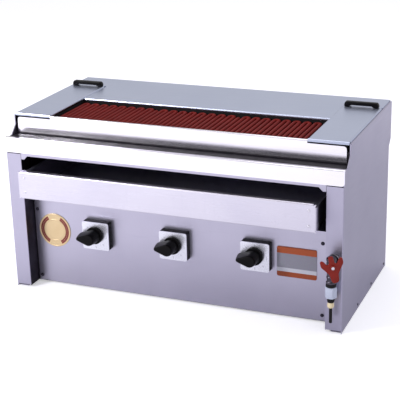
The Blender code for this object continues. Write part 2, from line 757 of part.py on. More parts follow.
def build_basin():
    """The fixed water basin under the drawer, hung by a wide rim that shows beside the drawer."""
    half = POST_X - GAP
    floor = BASIN_RIM - BASIN_DEPTH
    x, front, rear = BASIN_HALF, BASIN_FRONT, BASIN_REAR
    outer = [(-half, RIM_FRONT), (half, RIM_FRONT), (half, RIM_REAR), (-half, RIM_REAR)]
    upper = [(-x, front, BASIN_RIM), (x, front, BASIN_RIM), (x, rear, BASIN_RIM), (-x, rear, BASIN_RIM)]
    lower = [(px, py, floor) for px, py, _ in upper]
    panels = [lower]
    for i in range(4):
        j = (i + 1) % 4
        panels.append([upper[i], upper[j], lower[j], lower[i]])
        panels.append([(*outer[i], BASIN_RIM), (*outer[j], BASIN_RIM), upper[j], upper[i]])
    basin = folded_sheet("water_basin", panels, THIN, STEEL)
    drill(basin, PIPE_RADIUS - THIN, (BASIN_HALF, PIPE_RUN, PIPE_Z), (0, math.radians(90), 0), OVERRUN)


def build_runner(side, name):
    """An upturned channel on the basin's rim, on which the pan slides."""
    left = BASIN_HALF + RUNNER_OFFSET
    right = left + RUNNER_WIDTH
    low = BASIN_RIM + GAP
    top = PAN_BOTTOM - GAP
    front, rear = RUNNER_FRONT, RUNNER_REAR
    panels = [
        [(left, front, top), (right, front, top), (right, rear, top), (left, rear, top)],
        [(left, front, top), (left, rear, top), (left, rear, low), (left, front, low)],
        [(right, rear, top), (right, front, top), (right, front, low), (right, rear, low)],
    ]
    folded_sheet(name, on_side(panels, side), THIN, DULL_STEEL)


def build_drawer_pan():
    """The drip pan: open above, with a rim along both sides and the rear."""
    rim = DRAWER_HALF - THIN - GAP
    x = rim - PAN_RIM
    front, rear = PAN_FRONT, PAN_REAR
    rim_rear = rear + PAN_RIM
    floor = PAN_BOTTOM + THIN
    top = PAN_TOP
    upper = [(-x, front, top), (x, front, top), (x, rear, top), (-x, rear, top)]
    lower = [(px, py, floor) for px, py, _ in upper]
    panels = [lower]
    for i in range(4):
        j = (i + 1) % 4
        panels.append([upper[i], upper[j], lower[j], lower[i]])
    outer = [(rim, front, top), (rim, rim_rear, top), (-rim, rim_rear, top), (-rim, front, top)]
    panels.append([upper[1], outer[0], outer[1], upper[2]])
    panels.append([upper[2], outer[1], outer[2], upper[3]])
    panels.append([upper[3], outer[2], outer[3], upper[0]])
    folded_sheet("drawer_pan", panels, THIN, DULL_STEEL)


def build_drawer_front():
    """The drawer's front plate: a shallow cap whose four edges turn back."""
    front = -DRAWER_OUT
    back = front + DRAWER_RETURN
    half, low, top = DRAWER_HALF, DRAWER_BOTTOM, DRAWER_TOP
    side_low, side_top = low + RELIEF, top - RELIEF
    edge = half - RELIEF
    face = [
        (-half, front, low), (-edge, front, low), (edge, front, low), (half, front, low),
        (half, front, side_low), (half, front, side_top), (half, front, top),
        (edge, front, top), (-edge, front, top), (-half, front, top),
        (-half, front, side_top), (-half, front, side_low),
    ]
    panels = [
        face,
        [(edge, front, low), (-edge, front, low), (-edge, back, low), (edge, back, low)],
        [(-edge, front, top), (edge, front, top), (edge, back, top), (-edge, back, top)],
        [(half, front, side_top), (half, front, side_low), (half, back, side_low),
         (half, back, side_top)],
        [(-half, front, side_low), (-half, front, side_top), (-half, back, side_top),
         (-half, back, side_low)],
    ]
    folded_sheet("drawer_front", panels, THIN, POLISHED)


def switch_x(number):
    return SWITCH_MIDDLE + (number - (SWITCHES - 1) / 2) * SWITCH_PITCH


def build_control_panel():
    """The recessed panel: a chamfered top left corner, folds above and below, holes for the shafts."""
    half = POST_X - BEND - GAP
    low, top, y = PANEL_BOTTOM, PANEL_TOP, PANEL_Y
    cut = half - PANEL_CHAMFER
    back = y + PANEL_RETURN
    edge = POST_X - POST_LEG - GAP
    face = [
        (-half, y, low), (-edge, y, low), (edge, y, low), (half, y, low),
        (half, y, top), (edge, y, top), (-edge, y, top), (-cut, y, top), (-half, y, top - PANEL_CHAMFER),
    ]
    panels = [
        face,
        [(-edge, y, top), (edge, y, top), (edge, back, top), (-edge, back, top)],
        [(edge, y, low), (-edge, y, low), (-edge, back, low), (edge, back, low)],
    ]
    panel = folded_sheet("control_panel", panels, THIN, STEEL)
    for number in range(SWITCHES):
        hole = SHAFT_RADIUS + SHAFT_CLEAR
        drill(panel, hole, (switch_x(number), PANEL_Y, SWITCH_Z), TO_FRONT, OVERRUN)


def build_switch(number):
    """A rotary switch: its housing and plate before the panel, its body behind, and its knob."""
    x = switch_x(number)
    label = str(number + 1)
    square = rounded_rectangle(PLATE_SIDE, PLATE_SIDE, PLATE_CORNER)
    hole = SHAFT_RADIUS + SHAFT_CLEAR
    plate_z = SWITCH_Z - PLATE_DROP
    housing_place = (x, PANEL_Y - GAP, plate_z)
    draft = 1 - 2 * GAP / PLATE_SIDE
    stations = ((0, 1), (HOUSING_DEPTH / 2, 1), (HOUSING_DEPTH, draft))
    housing = stacked("switch_housing_" + label, square, stations, BLACK_PLASTIC, housing_place, TO_FRONT)
    drill(housing, hole, (x, PANEL_Y, SWITCH_Z), TO_FRONT, PLATE_SIDE)
    plate_place = (x, PLATE_FACE + PLATE_THICKNESS, plate_z)
    plate = stacked(
        "switch_plate_" + label, square, ((0, draft), (PLATE_THICKNESS, draft)), SILVER, plate_place, TO_FRONT
    )
    drill(plate, hole, (x, PLATE_FACE, SWITCH_Z), TO_FRONT, OVERRUN)
    build_switch_body(x, label)
    build_knob(x, label)


def build_switch_body(x, label):
    """The stacked switch wafers behind the panel, with a groove between each two."""
    depth = SWITCH_BODY_DEPTH
    square = rounded_rectangle(SWITCH_BODY_SIDE, SWITCH_BODY_SIDE, PLATE_CORNER, 1)
    waist = 1 - SWITCH_GROOVE * 2 / SWITCH_BODY_SIDE
    stations = [(0, 1)]
    for wafer in range(1, SWITCHES):
        middle = depth * wafer / SWITCHES
        stations += [(middle - SWITCH_GROOVE, 1), (middle - SWITCH_GROOVE / 2, waist)]
        stations += [(middle + SWITCH_GROOVE / 2, waist), (middle + SWITCH_GROOVE, 1)]
    stations.append((depth, 1))
    back = PANEL_Y + THIN + GAP
    name = "switch_body_" + label
    body = stacked(name, square, stations, BLACK_PLASTIC, (x, back, SWITCH_Z), TO_BACK)
    drill(body, SHAFT_RADIUS + SHAFT_CLEAR, (x, back, SWITCH_Z), TO_FRONT, SHAFT_DEPTH, ROUND_STEPS // 2)


def build_knob(x, label):
    """The pointer knob, on its shaft: a round skirt, and a drop-shaped grip that points left at rest."""
    front = KNOB_HEIGHT
    rear = -(PANEL_Y - PLATE_FACE)
    edge = KNOB_SKIRT / 5
    profile = [
        (0, rear - KNOB_SKIRT), (SHAFT_RADIUS, rear - KNOB_SKIRT), (SHAFT_RADIUS, GAP),
        (KNOB_RADIUS, GAP), (KNOB_RADIUS, KNOB_SKIRT - edge), (KNOB_RADIUS - edge, KNOB_SKIRT),
        (0, KNOB_SKIRT),
    ]
    place = (x, PLATE_FACE, SWITCH_Z)
    knob = turned("knob_" + label, profile, BLACK_PLASTIC, place, TO_FRONT)
    reach = POINTER_REACH - POINTER_TIP
    slope = math.degrees(math.acos((POINTER_ROUND - POINTER_TIP) / reach))
    outline = arc(0, 0, POINTER_ROUND, slope - 180, 180 - slope, 8)
    outline += arc(-reach, 0, POINTER_TIP, 180 - slope, 180 + slope, 4)
    taper_shares = ((0.2, 1.0), (0.5, 0.97), (0.9, 0.86), (1.0, 0.74))
    stations = [(front * share, scale) for share, scale in taper_shares]
    grip = stacked("knob_grip_" + label, outline, stations, BLACK_PLASTIC, place, TO_FRONT)
    combine(knob, grip, "UNION")


def build_badge():
    """The round badge, left bare: a disc with a raised rim."""
    edge = BADGE_THICKNESS / 3
    rim = BADGE_RADIUS - BADGE_THICKNESS * 2
    profile = [
        (0, 0), (BADGE_RADIUS, 0), (BADGE_RADIUS, BADGE_THICKNESS - edge),
        (BADGE_RADIUS - edge, BADGE_THICKNESS), (rim, BADGE_THICKNESS),
        (rim - edge, BADGE_THICKNESS - edge), (0, BADGE_THICKNESS - edge),
    ]
    place = (BADGE_MARGIN - HALF, PANEL_Y - GAP, PANEL_TOP - BADGE_DROP)
    turned("badge_disc", profile, GOLD, place, TO_FRONT, FINE_STEPS)


def build_label():
    outline = rounded_rectangle(LABEL_WIDTH, LABEL_HEIGHT, LABEL_CORNER)
    place = (HALF - LABEL_MARGIN, PANEL_Y - GAP, PANEL_TOP - LABEL_DROP)
    stacked("rating_plate", outline, ((0, 1), (LABEL_THICKNESS, 1)), ORANGE, place, TO_FRONT)


def build_cock():
    """The drain cock: barrel and pipe, stem, red handle, and what hangs under the barrel."""
    build_barrel()
    build_drain_pipe()
    build_handle()
    level = BARREL_BOTTOM - GAP
    hexagon = arc(0, 0, UNION_RADIUS, 0, 360, 6)[:-1]
    rim = 1 - BEND / UNION_RADIUS / 2
    level -= SEAL_HEIGHT
    seal = [(0, 0), (SEAL_RADIUS, 0), (SEAL_RADIUS, SEAL_HEIGHT), (0, SEAL_HEIGHT)]
    turned("seal_ring", seal, RUBBER, (COCK_X, COCK_Y, level))
    level -= GAP + UNION_HEIGHT
    edge = BEND / 2
    stations = ((0, rim), (edge, 1), (UNION_HEIGHT - edge, 1), (UNION_HEIGHT, rim))
    stacked("union_nut", hexagon, stations, GREY_PLASTIC, (COCK_X, COCK_Y, level))
    level -= GAP + GASKET_HEIGHT
    gasket = [(0, 0), (COLLAR_RADIUS, 0), (GASKET_RADIUS, GASKET_HEIGHT), (0, GASKET_HEIGHT)]
    turned("valve_gasket", gasket, RUBBER, (COCK_X, COCK_Y, level))
    level -= GAP + COLLAR_HEIGHT
    waist = COLLAR_RADIUS - THIN
    collar = [(0, 0), (waist, 0), (COLLAR_RADIUS, THIN * 2), (COLLAR_RADIUS, COLLAR_HEIGHT - THIN * 2),
              (waist, COLLAR_HEIGHT), (0, COLLAR_HEIGHT)]
    turned("outlet_collar", collar, IVORY, (COCK_X, COCK_Y, level))
    level -= GAP + SPOUT_HEIGHT
    spout = [(SPOUT_BORE, 0), (SPOUT_RADIUS, 0), (SPOUT_RADIUS, SPOUT_HEIGHT), (SPOUT_BORE, SPOUT_HEIGHT)]
    turned("outlet_spout", spout, RUBBER, (COCK_X, COCK_Y, level), steps=12, bored=True)


def build_barrel():
    height = BARREL_TOP - BARREL_BOTTOM
    neck = PIPE_RADIUS + THIN
    collar = BARREL_RADIUS - THIN
    profile = [
        (0, 0), (BARREL_RADIUS, 0), (BARREL_RADIUS, THIN * 3), (collar, THIN * 4),
        (collar, height - THIN * 6), (BARREL_RADIUS, height - THIN * 5), (BARREL_RADIUS, height - THIN),
        (neck, height), (0, height),
    ]
    barrel = turned("valve_body", profile, CHROME, (COCK_X, COCK_Y, BARREL_BOTTOM))
    reach, crown = BONNET_REACH, BONNET_RADIUS
    nose = [(0, 0), (crown, 0), (crown, reach - THIN), (crown - THIN, reach), (0, reach)]
    combine(barrel, turned("bonnet", nose, CHROME, (COCK_X, COCK_Y, STEM_Z), COCK_FRONT), "UNION")
    spigot = [(0, 0), (neck, 0), (neck, reach), (0, reach)]
    combine(barrel, turned("spigot", spigot, CHROME, (COCK_X, COCK_Y, STEM_Z), TO_BACK), "UNION")


def build_drain_pipe():
    """From the barrel's spigot back through the flange, then up and across to the basin's wall."""
    points = [(COCK_X, COCK_Y + BONNET_REACH + GAP, STEM_Z)]
    for y, z in arc(PIPE_RUN - PIPE_BEND, STEM_Z + PIPE_BEND, PIPE_BEND, -90, 0, BEND_POINTS):
        points.append((COCK_X, y, z))
    for x, z in arc(COCK_X - PIPE_BEND, PIPE_Z - PIPE_BEND, PIPE_BEND, 0, 90, BEND_POINTS):
        points.append((x, PIPE_RUN, z))
    points.append((BASIN_HALF + THIN + GAP, PIPE_RUN, PIPE_Z))
    tube("drain_pipe", points, PIPE_RADIUS, 2, CHROME)
    bore = PIPE_RADIUS + GAP
    edge = BUSH_THICKNESS / 4
    ring = [(bore, 0), (BUSH_RADIUS, 0), (BUSH_RADIUS, BUSH_THICKNESS - edge),
            (BUSH_RADIUS - edge, BUSH_THICKNESS), (bore, BUSH_THICKNESS)]
    turned("drain_bush", ring, CHROME, (COCK_X, -GAP, STEM_Z), TO_FRONT, bored=True)
    drill(bpy.data.objects["right_side_panel"], bore, (COCK_X, 0, STEM_Z), TO_FRONT, OVERRUN)


def along_stem(reach):
    """The point of the stem's axis at this distance from the barrel's axis."""
    return (COCK_X + reach * math.sin(COCK_TURN), COCK_Y - reach * math.cos(COCK_TURN), STEM_Z)


def handle_outline():
    """The butterfly's outline about its bore, leaning as the cock is left when shut."""
    outline = []
    for across, up in HANDLE_SHARES:
        rise = HANDLE_RISE if up > 0 else HANDLE_FOOT
        outline.append((across * HANDLE_HALF, up * rise))
    outline += [(-u, v) for u, v in reversed(outline)]
    c, s = math.cos(HANDLE_LEAN), math.sin(HANDLE_LEAN)
    return [(u * c - v * s, u * s + v * c) for u, v in outline]


def cock_extent():
    """How far right and how far forward the cock reaches, by its handle's wings and its stem."""
    x, y, _ = along_stem(HANDLE_REACH + HANDLE_THICKNESS)
    wings = [u for u, _ in handle_outline()]
    right = x + max(wings) * math.cos(COCK_TURN)
    front = y + min(wings) * math.sin(COCK_TURN)
    return max(HALF + RAIL_OVERHANG, right), min(STEM_FRONT, front)


def build_handle():
    """The red butterfly handle, the stem that it turns, and the lock nut before it."""
    bore = STEM_RADIUS + GAP
    place = along_stem(HANDLE_REACH)
    stations = ((0, 1), (HANDLE_THICKNESS, 1))
    handle = stacked("valve_handle", handle_outline(), stations, RED_PAINT, place, COCK_FRONT)
    drill(handle, bore, place, COCK_FRONT, OVERRUN, ROUND_STEPS // 2)
    collar = BONNET_RADIUS - THIN
    collar_depth = COLLAR_REACH - GAP - GAP
    length = STEM_REACH - HANDLE_REACH + GAP
    profile = [
        (0, -collar_depth), (collar, -collar_depth), (collar, 0), (STEM_RADIUS, 0),
        (STEM_RADIUS, length), (0, length),
    ]
    turned("valve_stem", profile, CHROME, along_stem(HANDLE_REACH - GAP), COCK_FRONT)
    hexagon = arc(0, 0, LOCK_NUT_RADIUS, 0, 360, 6)[:-1]
    nut_place = along_stem(NUT_REACH)
    nut = stacked("handle_nut", hexagon, ((0, 1), (LOCK_NUT_HEIGHT, 1)), IVORY, nut_place, COCK_FRONT)
    drill(nut, bore, nut_place, COCK_FRONT, OVERRUN, ROUND_STEPS // 2)


def build_terminals():
    """The terminal block on the base, with a rib between each two ways."""
    length = TERMINAL_WAYS * TERMINAL_PITCH
    top = TERMINAL_HEIGHT
    deck = top - TERMINAL_RIB * 2
    outline = [(-length / 2, 0), (length / 2, 0)]
    for way in reversed(range(TERMINAL_WAYS)):
        right = (way + 1) * TERMINAL_PITCH - length / 2
        left = right - TERMINAL_PITCH
        outline += [(right, top), (right - TERMINAL_RIB / 2, top), (right - TERMINAL_RIB / 2, deck)]
        outline += [(left + TERMINAL_RIB / 2, deck), (left + TERMINAL_RIB / 2, top)]
    outline.append((-length / 2, top))
    place = (TERMINAL_X, DEPTH - TERMINAL_GAP, PANEL_BOTTOM)
    stacked("terminal_block", outline, ((0, 1), (TERMINAL_DEPTH, 1)), GREY_PLASTIC, place, TO_FRONT)


def build_gland():
    """The cable gland in the rear panel, without a cable."""
    inside = -THIN - GAP - GLAND_FLANGE - GLAND_INSIDE
    outer = GLAND_RADIUS
    neck = GLAND_NECK
    crown = neck + THIN
    profile = [
        (GLAND_BORE, inside), (neck, inside), (neck, GAP), (outer, GAP), (outer, GAP + GLAND_FLANGE),
        (neck, GAP + GLAND_FLANGE + THIN), (crown, GLAND_REACH / 2), (crown, GLAND_REACH - THIN),
        (neck, GLAND_REACH), (GLAND_BORE, GLAND_REACH),
    ]
    turned("cable_gland", profile, BLACK_PLASTIC, (GLAND_X, DEPTH, GLAND_Z), TO_BACK, bored=True)
    bore = neck + GAP
    nut = [(bore, 0), (outer, 0), (outer, GLAND_FLANGE), (bore, GLAND_FLANGE)]
    place = (GLAND_X, DEPTH - THIN - GAP - GLAND_FLANGE, GLAND_Z)
    turned("gland_nut", nut, BLACK_PLASTIC, place, TO_BACK, bored=True)


def build_body():
    for side, word in ((-1, "left"), (1, "right")):
        build_side_panel(side, word + "_side_panel")
        build_post(side, word + "_post")
        build_box_angle(side, word + "_box_angle")
        build_lid(side, word + "_lid")
        build_grip(side, word + "_grip")
        build_runner(side, word + "_runner")
    build_rear_panel()
    build_base_panel()
    build_rear_cover()
    build_crossbar()
    build_skewer_rail()
    build_ledge()
    build_fascia()


def build_fire():
    build_fire_box()
    for zone, word in enumerate(("left", "middle", "right")):
        build_heater(zone, "heater_" + word)
    build_comb(HEATER_FRONT + COMB_INSET, "front_comb")
    build_comb(HEATER_REAR - COMB_INSET, "rear_comb")


def build_front():
    build_basin()
    build_drawer_pan()
    build_drawer_front()
    build_control_panel()
    for number in range(SWITCHES):
        build_switch(number)
    build_badge()
    build_label()


clear_scene()
GRILL = make_grill_empty()
build_body()
build_fire()
build_front()
build_cock()
build_terminals()
build_gland()
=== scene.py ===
# %% [markdown]
# # An electric yakitori grill
#
# This lesson dresses a grill for skewers: a folded stainless body, a sunk field of red heater tubes, a drip
# drawer, three heat switches and a drain cock. The solid model already holds every piece at its real size.
# Here each piece gets its finish, and the small pieces that catch the eye get finer meshes.
#
# X runs across the front, Y from the front to the back, and Z up from the table. All sizes are in metres.

# %% The frame, and what Blender needs
import bmesh
import bpy
import json
import math
from mathutils import Matrix, Vector

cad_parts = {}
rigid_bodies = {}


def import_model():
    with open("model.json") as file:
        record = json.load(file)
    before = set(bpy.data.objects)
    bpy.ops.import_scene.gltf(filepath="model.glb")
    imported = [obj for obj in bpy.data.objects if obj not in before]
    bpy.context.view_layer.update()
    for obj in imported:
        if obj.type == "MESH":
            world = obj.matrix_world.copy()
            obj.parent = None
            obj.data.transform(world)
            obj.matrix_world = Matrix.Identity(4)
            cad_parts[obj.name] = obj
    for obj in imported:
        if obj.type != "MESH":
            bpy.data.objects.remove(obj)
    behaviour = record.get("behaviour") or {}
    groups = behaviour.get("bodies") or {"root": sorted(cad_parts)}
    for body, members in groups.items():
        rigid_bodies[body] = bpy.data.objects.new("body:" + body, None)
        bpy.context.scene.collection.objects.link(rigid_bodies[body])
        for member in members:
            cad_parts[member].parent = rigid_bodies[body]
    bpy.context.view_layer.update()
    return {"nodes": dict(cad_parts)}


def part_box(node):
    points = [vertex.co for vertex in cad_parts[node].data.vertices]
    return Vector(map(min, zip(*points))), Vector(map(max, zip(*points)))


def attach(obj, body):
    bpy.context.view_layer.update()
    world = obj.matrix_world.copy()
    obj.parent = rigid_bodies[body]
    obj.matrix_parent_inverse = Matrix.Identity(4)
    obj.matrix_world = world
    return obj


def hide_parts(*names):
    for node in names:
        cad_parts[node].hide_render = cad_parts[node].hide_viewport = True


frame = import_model()
nodes = frame["nodes"]
scene = bpy.context.scene
for starter in [item for item in scene.objects if item.name in ("Cube", "Light", "Camera")]:
    bpy.data.objects.remove(starter, do_unlink=True)

# %% [markdown]
# ## The camera
#
# The photograph's camera was worked out from the grill's own edges: its distance, its two angles and a small
# tilt. The eye's place is measured from the lower front plane, where the flanges of the side panels lie. A
# long lens keeps the sides nearly parallel, as in a catalogue picture.

# %% Camera
MM = 0.001
IMAGE_PIXELS = 400
FOCAL_PIXELS = 1146
SENSOR_MM = 36
AZIMUTH_DEGREES = 22.59
ELEVATION_DEGREES = 19.81
ROLL_DEGREES = -1.51
EYE_FROM_FRONT = Vector((0.733, -1.619, 0.835))
NEAREST_SEEN = 0.05
PANEL_RECESS_MM = 30
panel_low, panel_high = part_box("control_panel")
FRONT_Y = panel_low.y - PANEL_RECESS_MM * MM
CENTRE_X = (panel_low.x + panel_high.x) / 2


def camera_turn(azimuth, elevation, roll):
    """The camera's three axes as a matrix, from its angles in degrees."""
    a, e, r = (math.radians(angle) for angle in (azimuth, elevation, roll))
    ahead = Vector((-math.sin(a) * math.cos(e), math.cos(a) * math.cos(e), -math.sin(e)))
    right = Vector((math.cos(a), math.sin(a), 0))
    up = right.cross(ahead)
    across = right * math.cos(r) + up * math.sin(r)
    above = up * math.cos(r) - right * math.sin(r)
    return Matrix((across, above, -ahead)).transposed()


lens = bpy.data.cameras.new("camera")
lens.sensor_width = SENSOR_MM
lens.lens = SENSOR_MM * FOCAL_PIXELS / IMAGE_PIXELS
lens.clip_start = NEAREST_SEEN
camera = bpy.data.objects.new("camera", lens)
scene.collection.objects.link(camera)
turn = camera_turn(AZIMUTH_DEGREES, ELEVATION_DEGREES, ROLL_DEGREES)
camera.matrix_world = Matrix.Translation(EYE_FROM_FRONT + Vector((CENTRE_X, FRONT_Y, 0))) @ turn.to_4x4()
scene.camera = camera
print("lens", round(lens.lens, 1), "mm, eye at", [round(c, 3) for c in camera.matrix_world.translation])

# %% [markdown]
# ## Helpers for node trees
#
# A colour is written as the hex value that a screen shows, and one function turns it to the linear values
# that Blender mixes. Another adds a node with its settings and links, for materials and geometry trees.

# %% Colour and node helpers
NOISE, RANGE, MIX = "ShaderNodeTexNoise", "ShaderNodeMapRange", "ShaderNodeMix"
BUMP, MATH = "ShaderNodeBump", "ShaderNodeMath"


def srgb(code):
    """A hex colour such as C8C4D4 as linear values, with full alpha."""
    values = [int(code[i:i + 2], 16) / 255 for i in (0, 2, 4)]
    return (*[v / 12.92 if v <= 0.04045 else ((v + 0.055) / 1.055) ** 2.4 for v in values], 1)


def link(tree, node, **sockets):
    """Joins sockets to a node's inputs, each by the input's name or, written i0, by its number."""
    for key, socket in sockets.items():
        name = int(key[1:]) if key[0] == "i" and key[1:].isdigit() else key.replace("_", " ")
        tree.links.new(socket, node.inputs[name])


def add_node(tree, kind, settings=None, **sockets):
    """Adds one node. Settings go to its own properties or to its inputs, and sockets are linked to it."""
    node = tree.nodes.new(kind)
    for key, value in (settings or {}).items():
        if isinstance(key, str) and hasattr(node, key):
            setattr(node, key, value)
        else:
            node.inputs[key].default_value = value
    link(tree, node, **sockets)
    return node


def new_material(name, colour, roughness, metallic=0.0, **extra):
    """A Principled material, its tree, its shader and the place on the object. Extras go to the shader."""
    material = bpy.data.materials.new(name)
    material.use_nodes = True
    shader = material.node_tree.nodes["Principled BSDF"]
    values = {"Base Color": srgb(colour), "Roughness": roughness, "Metallic": metallic, **extra}
    for key, value in values.items():
        shader.inputs[key.replace("_", " ")].default_value = value
    spot = add_node(material.node_tree, "ShaderNodeTexCoord").outputs["Object"]
    return material, material.node_tree, shader, spot


def pattern(size_mm, detail):
    """Settings of a noise, from the size of one mark in millimetres."""
    return {"Scale": 1 / (size_mm * MM), "Detail": detail}


def stretched(along, long_mm, fine_mm):
    """A scale for each axis: marks this long on one axis and this fine on the other two."""
    return [1 / ((long_mm if axis == along else fine_mm) * MM) for axis in "XYZ"]


def between(low, high, least, most):
    """Settings that carry the range from low to high over to the range from least to most."""
    return {"From Min": low, "From Max": high, "To Min": least, "To Max": most}


def two_tones(first, second):
    """Settings of a mix between two hex colours."""
    return {"data_type": "RGBA", 6: srgb(first), 7: srgb(second)}


print("helpers ready, noise of 10 mm:", pattern(10, 2.0))

# %% [markdown]
# ## Brushed stainless steel
#
# The body is cold-rolled stainless sheet, finished with a fine belt. Real belt marks are about 0.1 mm apart,
# finer than a pixel of the picture, so they are drawn 0.7 mm apart and faint: a noise that is stretched
# along them and squeezed across. A second, slow noise shifts the colour from place to place, as fingers and
# cleaning do. A third leaves a few hairline scratches across the marks, the wear of every kitchen counter.

# %% Brushed steel
BELT_MM = 0.7
BELT_LENGTH_MM = 60
CLOUD_MM = 90
SCRATCH_MM = 3
SCRATCH_TURN = (0.3, 0.2, 0.4)
MARK_DEPTH_MM = 0.05


def brushed_steel(name, colour, worn, roughness, along, marks_depth=0.12):
    """Stainless sheet with its belt marks along X, Y or Z."""
    material, tree, shader, spot = new_material(name, colour, roughness, 1.0)
    lengthwise = {"Scale": stretched(along, BELT_LENGTH_MM, BELT_MM)}
    belt_at = add_node(tree, "ShaderNodeMapping", lengthwise, Vector=spot).outputs["Vector"]
    belt = add_node(tree, NOISE, {"Scale": 1.0, "Detail": 2.0}, Vector=belt_at).outputs["Fac"]
    cloud = add_node(tree, NOISE, {**pattern(CLOUD_MM, 3.0), "Roughness": 0.45}, Vector=spot)
    crosswise = {"Scale": stretched(along, SCRATCH_MM, BELT_LENGTH_MM), "Rotation": SCRATCH_TURN}
    scratch_at = add_node(tree, "ShaderNodeMapping", crosswise, Vector=spot).outputs["Vector"]
    scratch = add_node(tree, NOISE, {"Scale": 1.0, "Detail": 1.0}, Vector=scratch_at).outputs["Fac"]
    hairs = add_node(tree, RANGE, between(0.70, 0.74, 0.0, 0.35), Value=scratch).outputs["Result"]
    tone = add_node(tree, MIX, two_tones(colour, worn), i0=cloud.outputs["Fac"])
    scratched = add_node(tree, MIX, two_tones(worn, worn), i0=hairs, i6=tone.outputs[2])
    streaks = add_node(tree, RANGE, between(0.3, 0.7, roughness - 0.04, roughness + 0.05), Value=belt)
    bump = add_node(tree, BUMP, {"Strength": marks_depth, "Distance": MARK_DEPTH_MM * MM}, Height=belt)
    link(tree, shader, Base_Color=scratched.outputs[2], Roughness=streaks.outputs[0], Normal=bump.outputs[0])
    return material


# Ground from front to back: a dull sheen, painted darker than the front for the shade on the side
steel_side_painted_shade = brushed_steel("brushed_stainless_side_painted_shade", "B1ADC0", "A39FB4", 0.38, "Y")
# Ground across the top: an even grey, with a painted cool tint for the sky's reflection
steel_top = brushed_steel("brushed_stainless_top", "B4BACF", "ABB1C8", 0.36, "X")
# Ground from top to bottom: it blurs the table into a shade that deepens towards the foot
steel_front = brushed_steel("brushed_stainless_panel", "B7B3C5", "A9A5B8", 0.34, "Z")
# Polished with a soft belt after grinding, and painted nearly white: polish and a painted highlight
steel_rail_polish_and_highlight = brushed_steel("polished_stainless_painted_highlight", "E6E3EA", "D8D4E0", 0.20, "X", 0.06)
# Satin ground and wiped often: pale, with faint streaks along it
steel_drawer = brushed_steel("satin_stainless_drawer_front", "CCC8D4", "BEBACA", 0.30, "X")
# Ground once and left: the dullest of the sheets
steel_back = brushed_steel("brushed_stainless_back", "ADAAB4", "A29FAA", 0.42, "X")
print("steels:", len(bpy.data.materials))

# %% [markdown]
# ## Sheet in painted shade, and sooty sheet
#
# The ledge behind the skewer rail lies in a dark slot, and it is painted nearly black for that shade; it is
# still glossy. The fire box and the combs are dull from smoke, and the drip pan is satin sheet. For these one
# metal takes two noises, one for soot clouds and one for dried spots of fat.

# %% Painted-shade and sooty sheet
SOOT_MM = 35
FAT_SPOT_MM = 6
FAT_HIGH_MM = 0.05


def sooty_sheet(name, colour, soot, roughness, metallic=1.0, gloss_swing=0.12):
    """Dark sheet with soot clouds and spots of dried fat; on the ledge and the posts the dark is painted
    shade.
    """
    material, tree, shader, spot = new_material(name, colour, roughness, metallic)
    clouds = add_node(tree, NOISE, pattern(SOOT_MM, 5.0), Vector=spot).outputs["Fac"]
    fat = add_node(tree, "ShaderNodeTexVoronoi", {"Scale": 1 / (FAT_SPOT_MM * MM)}, Vector=spot)
    dots = add_node(tree, RANGE, between(0.12, 0.30, 1.0, 0.0), Value=fat.outputs["Distance"])
    tone = add_node(tree, MIX, two_tones(colour, soot), i0=clouds)
    swing = between(0.35, 0.65, roughness - gloss_swing / 2, roughness + gloss_swing)
    rough = add_node(tree, RANGE, swing, Value=clouds)
    bump = add_node(tree, BUMP, {"Strength": 0.25, "Distance": FAT_HIGH_MM * MM}, Height=dots.outputs[0])
    link(tree, shader, Base_Color=tone.outputs[2], Roughness=rough.outputs[0], Normal=bump.outputs[0])
    return material


# Stainless painted nearly black as painted shade for its dark slot: a dark gloss with a violet cast
ledge_painted_shade = sooty_sheet("painted_shade_stainless_ledge", "221D27", "151119", 0.46, 0.6)
# Plain sheet that the rail shades: dark grey, soft
post_sheet = sooty_sheet("shaded_stainless_post", "3A3540", "231F28", 0.50)
# Steel under years of smoke: black, with hardly a shine
box_sheet = sooty_sheet("sooty_steel_fire_box", "1C181C", "0C0A0C", 0.60, 0.6)
# The same smoke on bare edges, browner from the heat of the tubes
comb_sheet = sooty_sheet("sooty_steel_comb", "2C2224", "120E10", 0.60, 0.6)
# Pressed satin sheet that is washed every night: even, and lighter than its surroundings
pan_sheet = sooty_sheet("satin_stainless_drip_pan", "A19EB2", "918EA3", 0.42, gloss_swing=0.05)
# Zinc-dipped sheet: a flat mid grey
base_sheet = sooty_sheet("galvanised_base_sheet", "8E8C96", "74727C", 0.50)
print("finishes so far:", len(bpy.data.materials))

# %% [markdown]
# ## Heater sheath, plastics, paint and rubber
#
# These are all moulded, dipped or coated, so one recipe serves: a fine noise for the skin's grain, a slow
# one that shifts the colour, and edges in another colour: worn edges on most finishes, and painted
# highlights on the heater sheath and the nickel. The edges come from the Pointiness of the surface, which is
# high where a shape turns outwards.

# %% Coated and moulded finishes
GRAIN_MM = 0.8
DRIFT_MM = 25


